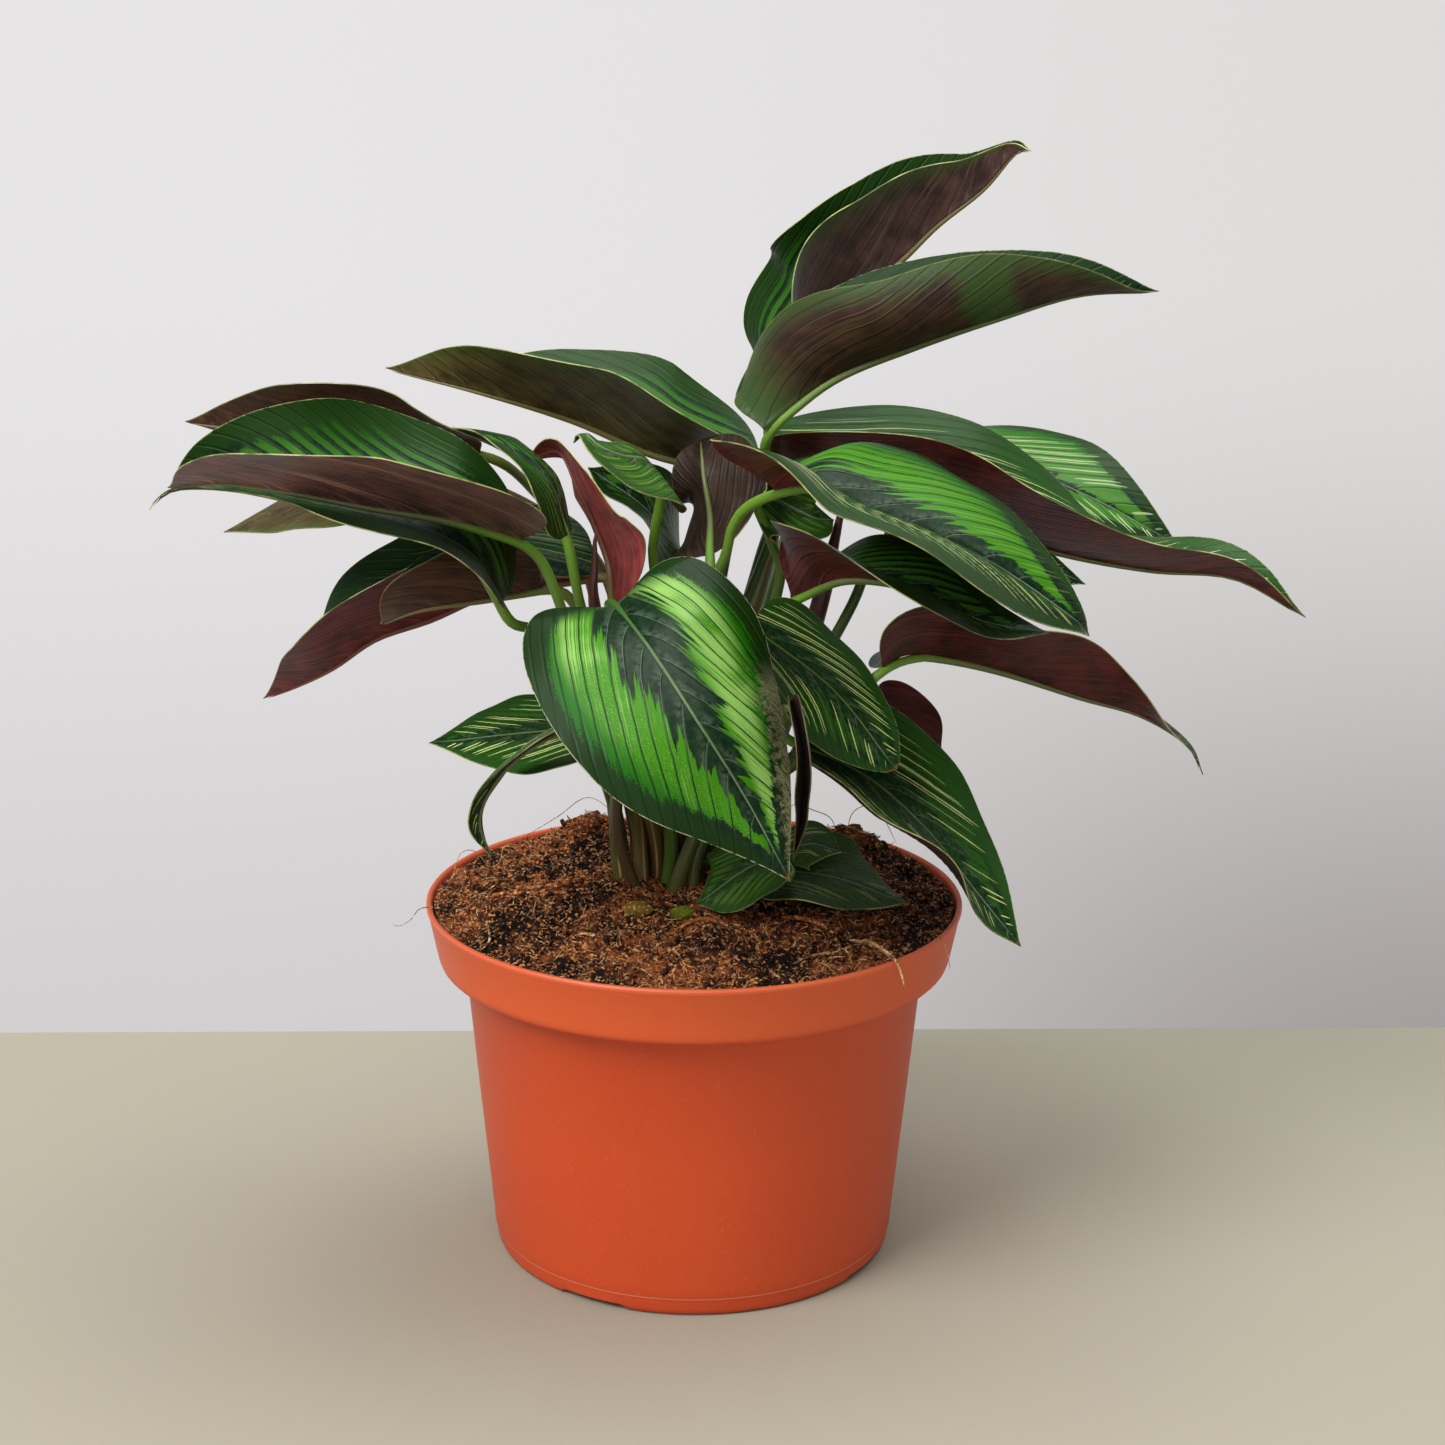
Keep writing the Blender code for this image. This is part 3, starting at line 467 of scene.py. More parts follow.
for name, size, strength in (("lumps", 0.013, 7.0), ("crumble", 0.0036, 4.4)):
    texture = bpy.data.textures.new(name, "CLOUDS")
    texture.noise_scale = size
    texture.noise_depth = 4
    push = mix.modifiers.new(name, "DISPLACE")
    push.texture = texture
    push.texture_coords = "LOCAL"
    push.strength = strength * MM
    push.mid_level = 0.55
    push.vertex_group = "rough"
    bpy.context.view_layer.objects.active = mix
    bpy.ops.object.modifier_apply(modifier=name)
crumbled = points_of(mix)[on_top] / MM


def crumbled_height(x, y):
    """Height of the finished, crumbled surface of the mix at a place, in millimetres."""
    return float(crumbled[np.argmin((crumbled[:, 0] - x) ** 2 + (crumbled[:, 1] - y) ** 2), 2])


print("potting mix:", len(mix.data.polygons), "faces")

# %% [markdown]
# Coir is a red-brown fibre. The finish mixes dark peat, red-brown and straw tones at two sizes, and stays
# quite rough. The same colours, drier and lighter, are used for the loose fibres and crumbs.
# %% Finish of the potting mix
def coir_finish(name, dark, middle, pale, lift):
    made, start = new_finish(name)
    place = start.node("ShaderNodeTexCoord", output=3)
    clumps = grain(start, 260, detail=5.0, roughness=0.7)
    specks = start.node("ShaderNodeTexVoronoi", {}, {"Vector": place, "Scale": 1500.0}, output=1)
    speck = parts(specks)[0]
    damp = grain(start, 45, detail=3.0)
    colour = mixed(rises(clumps * 0.6 + damp * 0.9, 0.64, 0.84), dark, middle)
    colour = mixed(rises(speck, 0.82 - lift, 0.95) * 0.8, colour, pale)
    colour = mixed(falls(speck, 0.12, 0.26) * 0.75, colour, dark)
    return finish_with(made, colour, 0.95, height=clumps + speck * 0.6, depth=0.5, Specular_IOR_Level=0.2)


mix.data.materials.append(coir_finish("coir", srgb(16, 8, 5), srgb(132, 72, 38), srgb(216, 150, 92), 0.12))
mix.data.shade_smooth()
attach(mix, "root")
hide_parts("soil")
print("potting mix finished")

# %% [markdown]
# The loose coir is what makes the mix look real: short flat chips, long fibres, dark crumbs, and on the two
# big clods ragged lumps and tufts. A few of each are modelled one by one: a grid is rolled into a thin tube
# and bent, and an icosphere is made uneven. Copies of them, turned and sized by a seeded random choice, are
# strewn over the finished surface and sunk into it a little. Two bits of rhizome show in front of the stalks.
# %% Loose coir
chance = np.random.default_rng(11)


def strewn(name, shapes, count, pick, finish):
    """Copies of small shapes laid on the mix, joined into one piece. pick(k) gives place, turn and size."""
    made = []
    for k in range(count):
        copy = shapes[k % len(shapes)].copy()
        copy.data = copy.data.copy()
        bpy.context.collection.objects.link(copy)
        copy.matrix_world = pick(k)
        made.append(copy)
    bpy.ops.object.select_all(action="DESELECT")
    for copy in made:
        copy.select_set(True)
    bpy.context.view_layer.objects.active = made[0]
    bpy.ops.object.join()
    piece = bpy.context.object
    bpy.ops.object.transform_apply(location=True, rotation=True, scale=True)
    piece.name = piece.data.name = name
    piece.data.materials.clear()
    piece.data.materials.append(finish)
    piece.data.shade_smooth()
    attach(piece, "root")
    print(name, len(piece.data.polygons), "faces")
    return piece


FIBRE_RINGS = 5
FIBRE_SIDES = 3


def fibre_shape(bends, thickness):
    """A fibre 1 long, bent sideways by the given amounts."""
    bpy.ops.object.select_all(action="DESELECT")
    bpy.ops.mesh.primitive_grid_add(x_subdivisions=FIBRE_RINGS, y_subdivisions=FIBRE_SIDES, size=1)
    piece = bpy.context.object
    u, v = (points_of(piece)[:, :2] + 0.5).T
    line = even_curve([(k / (len(bends) - 1) - 0.5, y, z) for k, (y, z) in enumerate(bends)], FIBRE_RINGS + 1)
    line = np.stack([np.interp(u, np.linspace(0, 1, FIBRE_RINGS + 1), line[:, k]) for k in range(3)], 1)
    radius = thickness / 2 * np.sin(np.pi * np.clip(u, 0.02, 0.98)) ** 0.4
    turn = -2 * np.pi * v
    set_points(piece, line + np.stack([0 * u, radius * np.cos(turn), radius * np.sin(turn)], 1))
    bpy.ops.object.mode_set(mode="EDIT")
    bpy.ops.mesh.select_all(action="SELECT")
    bpy.ops.mesh.remove_doubles(threshold=0.0005)
    bpy.ops.object.mode_set(mode="OBJECT")
    return piece


def crumb_shape(seed, fineness=1, spread=0.32):
    """An uneven, flattened ball about 1 across."""
    bpy.ops.object.select_all(action="DESELECT")
    bpy.ops.mesh.primitive_ico_sphere_add(subdivisions=fineness, radius=0.5, location=(0, 0, 0))
    piece = bpy.context.object
    uneven = 1 + np.random.default_rng(seed).uniform(-spread, spread, (len(piece.data.vertices), 1))
    set_points(piece, points_of(piece) * uneven * (1.0, 0.8, 0.6))
    return piece


def on_mix(radius_limit, size, sink, tilt):
    """A random place on the mix, with a size in millimetres."""
    while True:
        x, y = chance.uniform(-radius_limit, radius_limit, 2)
        if math.hypot(x, y) < radius_limit - size * 0.4:
            break
    z = crumbled_height(x, y) + 0.3 - sink
    turn = Matrix.Rotation(chance.uniform(0, math.tau), 4, "Z")
    turn = turn @ Matrix.Rotation(chance.normal(0, tilt), 4, "Y")
    turn = turn @ Matrix.Rotation(chance.uniform(0, math.tau), 4, "X")
    return Matrix.Translation((x * MM, y * MM, z * MM)) @ turn @ Matrix.Scale(size * MM, 4)


BENDS = (
    [(0, 0), (0.1, 0.05), (0.05, 0.12), (0, 0)], [(0, 0), (-0.15, 0.1), (0.1, 0.15), (0.05, 0)],
    [(0, 0), (0.05, 0.02), (0, 0.04), (0, 0)], [(0, 0), (0.3, 0.1), (0.3, 0.25), (0, 0.3)],
)
chips = [fibre_shape(bends, 0.16) for bends in BENDS[:3]]
fibres = [fibre_shape(bends, 0.055) for bends in BENDS]
crumbs = [crumb_shape(seed) for seed in (1, 2, 3)]
red = coir_finish("coir_red", srgb(40, 18, 9), srgb(178, 100, 54), srgb(238, 176, 118), 0.1)
pale = coir_finish("coir_pale", srgb(104, 62, 34), srgb(216, 162, 104), srgb(248, 216, 168), 0.2)
dark = coir_finish("coir_dark", srgb(20, 11, 8), srgb(70, 38, 26), srgb(140, 92, 62), 0.05)
strewn("coir_chips_red", chips, 3200, lambda k: on_mix(74.0, chance.uniform(1.8, 4.2), 0.1, 0.5), red)
strewn("coir_chips_pale", chips, 1700, lambda k: on_mix(74.0, chance.uniform(1.4, 3.6), 0.0, 0.5), pale)
strewn("coir_fibres", fibres, 900, lambda k: on_mix(72.0, chance.uniform(3.0, 9.0), 0.5, 0.3), pale)
strewn("coir_crumbs", crumbs, 2200, lambda k: on_mix(73.4, chance.uniform(0.8, 3.0), 0.4, 1.5), dark)


def on_clods(size, tilt=0.6):
    """A place on one of the two big clods or, now and then, anywhere on the mix."""
    middle_x, middle_y, _, spread = CLODS[chance.integers(0, 2)]
    x, y = np.array([middle_x, middle_y]) + chance.normal(0, spread * 0.45, 2)
    if chance.random() < 0.4 or math.hypot(x, y) > 66:
        return on_mix(68.0, size, size * 0.3, tilt)
    z = float(mix_height(x, y)) - size * 0.12
    turn = Matrix.Rotation(chance.uniform(0, math.tau), 4, "Z")
    turn = turn @ Matrix.Rotation(chance.normal(0, tilt), 4, "X")
    return Matrix.Translation((x * MM, y * MM, z * MM)) @ turn @ Matrix.Scale(size * MM, 4)


lumps = [crumb_shape(seed, fineness=3, spread=0.16) for seed in (4, 5, 6)]
lump_finish = coir_finish("coir_lump", srgb(40, 20, 11), srgb(120, 64, 36), srgb(190, 126, 80), 0.12)
strewn("coir_lumps", lumps, 70, lambda k: on_clods(chance.uniform(2.5, 6.5)), lump_finish)
strewn("coir_tufts", fibres + chips, 1100, lambda k: on_clods(chance.uniform(2.0, 5.0), 1.2), red)
RHIZOMES = (
    ("rhizome_ochre", -15, -30, 8.0, ((110, 84, 30), (160, 132, 52), (186, 166, 84))),
    ("rhizome_green", -3, -33, 6.5, ((84, 92, 18), (130, 140, 36), (164, 160, 60))),
)
for name, x, y, size, tones in RHIZOMES:
    z = float(mix_height(x, y)) + 0.4
    place = Matrix.Translation((x * MM, y * MM, z * MM)) @ Matrix.Scale(size * MM, 4)
    strewn(name, lumps[:1], 1, lambda k: place, coir_finish(name, *(srgb(*tone) for tone in tones), 0.1))
for shape in chips + fibres + crumbs + lumps:
    bpy.data.objects.remove(shape)

# %% [markdown]
# ## The leaf's shape
#
# A calathea's leaf hangs on its midrib: the two halves rise from it at angles that change along the leaf,
# and curl further to the margin. Such a twisted surface is hard to reach with edit tools, so a grid
# primitive is laid on it by the formulas that the CAD model uses. The formulas also give every point its
# place in the leaf: which side vein it lies on, and how far out along that vein. The paint follows these.
# %% Leaf
STATIONS = 81         # points kept along a midrib
VEIN_LEAN = 0.6       # how far forward a side vein leans where it leaves the midrib
VEIN_SWEEP = 3.1      # how much further it leans out towards the margin
VEIN_TURN = 0.35      # share of the half width over which it bends forward
VEIN_APART = 10.5     # millimetres from vein to vein along the midrib of leaf_front
VEIN_LENGTH = 87      # and that leaf's length


def unit(vectors):
    return vectors / np.maximum(np.linalg.norm(vectors, axis=-1, keepdims=True), 1e-9)


def carried_sides(tangents, side):
    """A side vector carried along a curve without twisting about it."""
    sides = []
    for tangent in tangents:
        side = unit(side - tangent * (side @ tangent))
        sides.append(side)
    return np.array(sides)


class Leaf:
    """A blade laid along its midrib, with the stalk that carries it, in millimetres and degrees."""

    def __init__(self, name, width, left, right, curl, roll, rib, stalk, lobe=1.2, point=0.35, halves=(1, 1)):
        self.name = name
        self.width = width
        self.curl = curl
        self.stalk = stalk
        self.lobe = lobe
        self.point = point
        self.halves = halves
        self.keys = np.linspace(0, 1, STATIONS)
        self.line = even_curve(rib, STATIONS)
        self.length = np.linalg.norm(np.diff(self.line, axis=0), axis=1).sum()
        self.along = unit(np.gradient(self.line, axis=0))
        flat = carried_sides(self.along, np.cross((0, 0, 1), self.along[0]))
        up = np.cross(self.along, flat)
        turn = np.radians(catmull_rom(roll, self.keys))[:, None]
        self.side = flat * np.cos(turn) + up * np.sin(turn)
        self.normal = up * np.cos(turn) - flat * np.sin(turn)
        self.rise = [np.radians(catmull_rom(angles, self.keys)) for angles in (left, right)]

    def surface(self, x, y):
        """Points of the blade's middle surface, x along the midrib and y across it, left positive."""
        at = np.clip(x / self.length, 0, 1)
        middle, along, side, normal = (
            np.stack([np.interp(at, self.keys, field[:, k]) for k in range(3)], -1)
            for field in (self.line, self.along, self.side, self.normal)
        )
        middle = middle + along * np.minimum(x, 0)[..., None]
        is_left = y > 0
        start = np.where(is_left, *(np.interp(at, self.keys, rise) for rise in self.rise))
        curl = np.radians(np.where(is_left, *self.curl))
        bend = np.where(np.abs(curl) < 1e-4, 1e-4, curl) / (self.width / 2)
        end = start + bend * np.abs(y)
        out = (np.sin(end) - np.sin(start)) / bend * np.where(is_left, 1, -1)
        up = (np.cos(start) - np.cos(end)) / bend
        return middle + out[..., None] * side + up[..., None] * normal

    def outline(self, s):
        """Place along the midrib, and half width, of the margin at shares s from base to tip."""
        x = self.length * (s - self.lobe * s * (1 - s) ** 6)
        y = self.width / 2 * np.sin(np.pi * s**0.72) ** (0.8 + self.point * s)
        return x, y

    def flat(self, s, v):
        """Places on the flattened blade, s from base to tip, and v from -1 to 1 between the margins."""
        margin_x, margin_y = self.outline(s)
        rib_x = self.length * s**1.5
        x = rib_x + (margin_x - rib_x) * np.abs(v) ** 1.5
        return x, margin_y * v * np.where(v > 0, *self.halves)

    def vein_count(self, x, y):
        """How many side veins lie before a place, and the millimetres from one vein to the next there.

        A side vein leaves the midrib at about 60 degrees, but soon bends forward and runs almost along it.
        """
        half = self.width / 2
        share = np.abs(y) / half
        ahead = half * (VEIN_LEAN * share + VEIN_SWEEP * share**2 / (share + VEIN_TURN))
        lean = VEIN_LEAN + VEIN_SWEEP * (share**2 + 2 * VEIN_TURN * share) / (share + VEIN_TURN) ** 2
        apart = VEIN_APART * (self.length / VEIN_LENGTH) ** 0.3
        return (x - ahead) / apart, apart / np.sqrt(1 + lean**2)


print("leaf formulas ready")

# %% [markdown]
# These are the leaves of the CAD model with the same numbers, because this script can't read that file:
# the midrib's points from collar to tip, and the stalk's points from its foot in the mix to the collar.
# %% The leaves
LEAVES = (
    Leaf("leaf_front", width=65, left=(15, -15, -20, -20), right=(25, 10, 5, 0), curl=(-35, 0),
         roll=(30, 25), lobe=2.5,
         rib=[(-20, -46, 198), (-11, -67, 192), (1, -83, 178), (14, -87, 158), (25, -88, 137)],
         stalk=[(-9, -8, 98), (-7, -11, 127), (-19, -26, 182), (-23, -40, 198)]),
    Leaf("leaf_right_pinstripe", width=43, left=(5, -10, 5), right=(15, -5, -25), curl=(0, 5),
         roll=(30, 35), point=-0.1,
         rib=[(15, -38, 191), (37, -38, 174), (54, -42, 153)],
         stalk=[(-8, -13, 98), (-3, -15, 117), (8, -13, 147), (12, -21, 169), (12, -38, 189)]),
    Leaf("leaf_right_low", width=53, left=(40, 10, 5, 30), right=(5, -5, 15, -15), curl=(5, 50),
         roll=(10, 20),
         rib=[(28, -27, 156), (47, -32, 148), (63, -37, 135), (76, -39, 119), (89, -41, 103)],
         stalk=[(0, -14, 98), (1, -11, 120), (17, -6, 145), (22, -25, 158)]),
    Leaf("leaf_right_drooping", width=49, left=(-20,), right=(65, 45, 65, -15), curl=(0, 20), roll=(5, 30),
         point=0.9,
         rib=[(51, -18, 175), (57, -15, 178), (67, -12, 177), (84, -11, 173), (106, -12, 166),
              (123, -13, 161), (136, -15, 153), (140, -17, 145)],
         stalk=[(12, 2, 98), (14, -3, 130), (46, -9, 158), (48, -8, 166), (46, -20, 170)]),
    Leaf("leaf_right_front", width=77, left=(20, 30, 25, 25), right=(60, 40, 35, 15, 0), curl=(-65, -25),
         roll=(15, 10), lobe=2.4,
         rib=[(21, -35, 227), (31, -42, 230), (43, -47, 225), (61, -52, 219), (78, -53, 211),
              (98, -50, 197), (103, -46, 191)],
         stalk=[(-4, -10, 98), (2, -6, 135), (6, -19, 198), (8, -21, 206), (11, -25, 219), (16, -31, 223)]),
    Leaf("leaf_right_mid", width=49, left=(20, 15, 10, 5), right=(115, 50, 25, 15, -5), curl=(0, -20),
         roll=(0, 15), lobe=2.2,
         rib=[(26, -17, 194), (40, -27, 202), (58, -34, 201), (75, -36, 193), (94, -35, 189)],
         stalk=[(3, 4, 98), (4, 5, 122), (23, -21, 187), (22, -14, 188)]),
    Leaf("leaf_right_long", width=69, left=(30, 50, 10, 60), right=(40, 50, 40, 60), curl=(-35, 10),
         roll=(10, 15),
         rib=[(18, 18, 226), (40, 15, 220), (61, 13, 214), (83, 10, 207), (104, 5, 202), (126, 0, 199),
              (148, -5, 198), (167, -10, 188)],
         stalk=[(-4, 11, 98), (-3, 10, 124), (17, 29, 192), (21, 25, 211), (11, 19, 226)]),
    Leaf("leaf_right_upper", width=61, left=(5, 5, 20, 35), right=(5, 5, 0, -10), curl=(-10, 20),
         roll=(-10, 25),
         rib=[(40, 66, 223), (67, 61, 224), (93, 54, 218), (117, 47, 209), (141, 45, 196)],
         stalk=[(2, 19, 98), (5, 22, 125), (27, 57, 201), (33, 66, 221)]),
    Leaf("leaf_top_right", width=52, left=(55, 50, 40, 60), right=(95, 20, 45, 25), curl=(-10, 105),
         roll=(-10, 30), lobe=2,
         rib=[(18, -11, 239), (36, -11, 253), (57, -13, 262), (79, -16, 270), (101, -13, 276),
              (123, -6, 276)],
         stalk=[(-9, 7, 98), (-6, 9, 132), (22, 24, 205), (21, 16, 223), (18, -6, 232)]),
    Leaf("leaf_top", width=55, left=(-5, 70, 60, 55), right=(5, 75, 75, 80), curl=(45, -35), roll=(10, -5),
         lobe=2,
         rib=[(21, 36, 248), (26, 36, 256), (35, 35, 262), (48, 33, 273), (57, 32, 281), (66, 31, 290),
              (78, 27, 300), (86, 22, 310), (90, 16, 311)],
         stalk=[(-2, 16, 98), (0, 17, 124), (22, 40, 198), (20, 44, 227), (20, 36, 240)]),
    Leaf("leaf_upper_left", width=64, left=(40, 45, 45, 70), right=(20, 35, 15, 15), curl=(-15, 15),
         roll=(-15, 15), lobe=0.8,
         rib=[(18, 36, 220), (-9, 32, 224), (-35, 28, 235), (-61, 20, 244), (-88, 28, 249)],
         stalk=[(-7, 18, 98), (-4, 19, 125), (8, 22, 196), (12, 30, 212), (25, 37, 217)]),
    Leaf("leaf_left_big", width=65, left=(30, 45, 50, 45), right=(15, 5, 30, 115), curl=(-10, 55),
         roll=(-5, -30),
         rib=[(-45, -38, 214), (-63, -46, 221), (-83, -50, 225), (-103, -52, 229), (-122, -46, 230),
              (-138, -34, 226)],
         stalk=[(-19, -5, 98), (-22, -6, 122), (-22, -14, 147), (-27, -20, 168), (-35, -32, 193),
                (-40, -35, 208)]),
    Leaf("leaf_left_back", width=48, left=(40, 55, 55, 65), right=(-20,), curl=(-30, 0), roll=(-10, 15),
         rib=[(-61, 20, 227), (-82, 18, 230), (-102, 15, 234), (-123, 14, 234), (-143, 18, 235)],
         stalk=[(-19, 14, 98), (-16, 18, 124), (-26, 54, 180), (-48, 34, 214), (-55, 21, 224)]),
    Leaf("leaf_left_under", width=55, left=(-5, -10, -5, -5), right=(20, 25, 15, 10), curl=(10, 25),
         roll=(0, 5), point=0.9,
         rib=[(-51, -32, 196), (-57, -33, 207), (-67, -33, 214), (-83, -34, 219), (-104, -33, 223),
              (-121, -33, 226), (-135, -33, 226), (-141, -33, 223), (-143, -34, 220)],
         stalk=[(-20, 2, 98), (-22, 1, 125), (-29, -4, 148), (-38, -14, 171), (-44, -24, 187),
                (-49, -31, 188)]),
    Leaf("leaf_left_tip", width=34, left=(0, -5, -10), right=(0,), curl=(-5, 0), roll=(-5, -15),
         rib=[(-78, 14, 214), (-107, 16, 213), (-134, 21, 203)],
         stalk=[(-20, 8, 98), (-24, 20, 125), (-33, 58, 184), (-56, 46, 210), (-71, 13, 212)]),
    Leaf("leaf_left_low", width=54, left=(40, 65, 55, 75), right=(50, 50, 45), curl=(-20, 0), roll=(-25, 0),
         rib=[(-29, 22, 191), (-46, 25, 188), (-62, 28, 184), (-77, 28, 177), (-93, 28, 171),
              (-106, 33, 161), (-118, 42, 153), (-130, 52, 146)],
         stalk=[(-12, 17, 98), (-11, 18, 123), (-18, 18, 170), (-22, 21, 190)]),
    Leaf("leaf_left_low_front", width=34, left=(75, 70, 50), right=(70, 70, 65), curl=(5, 0), roll=(5, -10),
         rib=[(-42, -7, 194), (-59, -8, 191), (-76, -8, 188), (-88, 3, 181)],
         stalk=[(-16, 4, 98), (-17, 4, 121), (-29, -5, 176), (-35, -7, 193)]),
    Leaf("leaf_low_left_pinstripe", width=38, left=(-5, -10, -15), right=(10, 5, 5), curl=(-5, 5),
         roll=(-5, -10),
         rib=[(-26, -37, 163), (-48, -41, 162), (-70, -44, 160)],
         stalk=[(-14, -7, 98), (-16, -8, 128), (-17, -29, 156), (-19, -36, 160)]),
    Leaf("leaf_low_left_twisted", width=19, left=(30, 30, 40), right=(15, 10, 0), curl=(-35, -45),
         roll=(5, 25), point=0.7,
         rib=[(-30, -62, 171), (-41, -66, 166), (-50, -68, 158), (-55, -69, 147), (-52, -66, 135)],
         stalk=[(-10, -3, 98), (-11, -8, 123), (-18, -46, 161), (-23, -60, 171)]),
    Leaf("leaf_soil_front", width=34, left=(0, -5, -20), right=(10, 5, 0), curl=(5, -5), roll=(0, -5),
         rib=[(23, -25, 123), (15, -29, 121), (8, -32, 117), (1, -31, 111)],
         stalk=[(0, -4, 98), (6, -12, 112), (13, -27, 116), (27, -29, 119)]),
    Leaf("leaf_soil_tip", width=22, left=(5,), right=(-5, -10, -5), curl=(5, -10), roll=(10, 5),
         rib=[(26, -13, 121), (33, -13, 123), (41, -15, 121)],
         stalk=[(7, -7, 98), (8, -8, 112), (14, -12, 122), (20, -12, 119)]),
    Leaf("leaf_soil_right", width=43, left=(20, -5, -5), right=(0, 0, -15), curl=(5, 5), roll=(10, 0),
         rib=[(22, -15, 116), (40, -25, 117), (59, -29, 111)],
         stalk=[(-2, 6, 98), (0, 2, 110), (9, -3, 113), (16, -11, 113)]),
    Leaf("leaf_hanging", width=21, left=(80,), right=(70, 65, 65), curl=(30, 0), roll=(5, 10),
         rib=[(25, -61, 177), (28, -69, 166), (28, -70, 151), (26, -71, 137)],
         stalk=[(-5, -5, 98), (-4, -5, 124), (3, -46, 160), (19, -60, 172)]),
    Leaf("leaf_centre_wavy", width=34, left=(-50, -45, -50, -40), right=(40, 35, 35), curl=(0, 0),
         roll=(0, -5), halves=(1, 0.4),
         rib=[(-9, -9, 222), (-11, -16, 229), (-14, -22, 233), (-19, -29, 235), (-25, -33, 238),
              (-29, -32, 241), (-32, -30, 238)],
         stalk=[(-11, 2, 98), (-11, 2, 122), (-11, -1, 186), (-12, -3, 205), (-10, -9, 216)]),
    Leaf("leaf_centre_purple", width=43, left=(-35, -20, -15), right=(5, 55, 10), curl=(-20, 25),
         roll=(165, 170), point=-0.35,
         rib=[(4, -9, 204), (4, -2, 213), (2, 3, 224), (1, 12, 232)],
         stalk=[(-6, 1, 98), (-6, 1, 122), (2, -8, 194), (4, -15, 198)]),
    Leaf("leaf_centre_green", width=39, left=(-10, 35, 15), right=(-45, -10, -5), curl=(20, 0),
         roll=(-35, -50),
         rib=[(-3, 22, 196), (-15, 22, 211), (-31, 23, 222)],
         stalk=[(-10, 12, 98), (-8, 14, 128), (-2, 18, 167), (0, 22, 189)]),
    Leaf("leaf_maroon", width=42, left=(25, 0, -5), right=(25, 10, 5), curl=(20, -20), roll=(90, 85),
         rib=[(-22, -9, 190), (-23, -1, 199), (-27, 2, 209), (-32, 3, 220), (-38, 6, 230), (-48, 8, 226)],
         stalk=[(-14, 9, 98), (-14, 9, 126), (-21, -11, 175), (-22, -13, 184)]),
    Leaf("leaf_left_centre", width=42, left=(0, 10, 25), right=(-5, 5, 10), curl=(-10, -25), roll=(0, 10),
         rib=[(-34, -21, 212), (-39, -20, 226), (-51, -20, 235), (-65, -18, 240)],
         stalk=[(-15, -1, 98), (-17, -2, 128), (-31, -19, 192), (-33, -21, 204)]),
    Leaf("leaf_right_behind", width=37, left=(10, 5, 10), right=(5, -5, -10), curl=(-15, -15), roll=(0, 10),
         rib=[(54, -14, 223), (71, -20, 216), (88, -24, 208), (105, -20, 199)],
         stalk=[(8, 6, 98), (11, 5, 124), (41, 2, 183), (46, 4, 194), (53, -4, 210), (48, -12, 223)]),
    Leaf("leaf_right_low_back", width=32, left=(35, 30, 25), right=(20, 15, 15), curl=(10, 0), roll=(10, 0),
         rib=[(50, 8, 152), (61, 10, 149), (70, 6, 144)],
         stalk=[(5, 13, 98), (8, 13, 123), (31, 6, 145), (44, 6, 151)]),
    Leaf("leaf_young_centre", width=26, left=(50,), right=(-65, -45, -40), curl=(0, -10), roll=(15, -5),
         rib=[(19, -2, 220), (25, 2, 216), (32, 0, 213), (38, 5, 211)],
         stalk=[(1, 10, 98), (2, 10, 122), (22, -2, 190), (21, -2, 205), (14, -6, 222)]),
)
print(len(LEAVES), "leaves, longest", round(max(leaf.length for leaf in LEAVES)), "mm")

# %% [markdown]
# A blade is a grid primitive laid on the leaf's surface, with soft folds along its side veins, a groove
# over the midrib and a slightly wavy margin. Its two ends come together in a point, so their doubles are
# merged, and a Solidify modifier gives it two faces with finishes of their own and a thin rim.
# %% Blade
BLADE_THICKNESS = 0.32
FOLD_DEPTH = 0.16       # of the soft folds along the side veins
GROOVE_DEPTH = 0.35     # over the midrib
WAVES = 3.1             # of the margin, from base to tip
WAVE_DEPTH = 0.022      # as a share of the half width


def laid_grid(name, rows, columns, lay):
    """A grid primitive with its points laid by lay(u, v), u along and v across, both from 0 to 1."""
    bpy.ops.object.select_all(action="DESELECT")
    bpy.ops.mesh.primitive_grid_add(x_subdivisions=rows, y_subdivisions=columns, size=1, calc_uvs=True)
    piece = bpy.context.object
    piece.name = piece.data.name = name
    u, v = (points_of(piece)[:, :2] + 0.5).T
    set_points(piece, lay(u, v) * MM)
    return piece, u, v


def keep_vectors(piece, name, *columns):
    """Stores three numbers for each point, which the paint reads as an attribute."""
    kept = piece.data.attributes.new(name, "FLOAT_VECTOR", "POINT")
    kept.data.foreach_set("vector", np.stack(columns, 1).astype(float).ravel())


def merge_doubles():
    bpy.ops.object.mode_set(mode="EDIT")
    bpy.ops.mesh.select_all(action="SELECT")
    bpy.ops.mesh.remove_doubles(threshold=1e-6)
    bpy.ops.object.mode_set(mode="OBJECT")


def across(v):
    """Columns lie closer together near the midrib."""
    w = 2 * v - 1
    return np.sign(w) * np.abs(w) ** 1.25


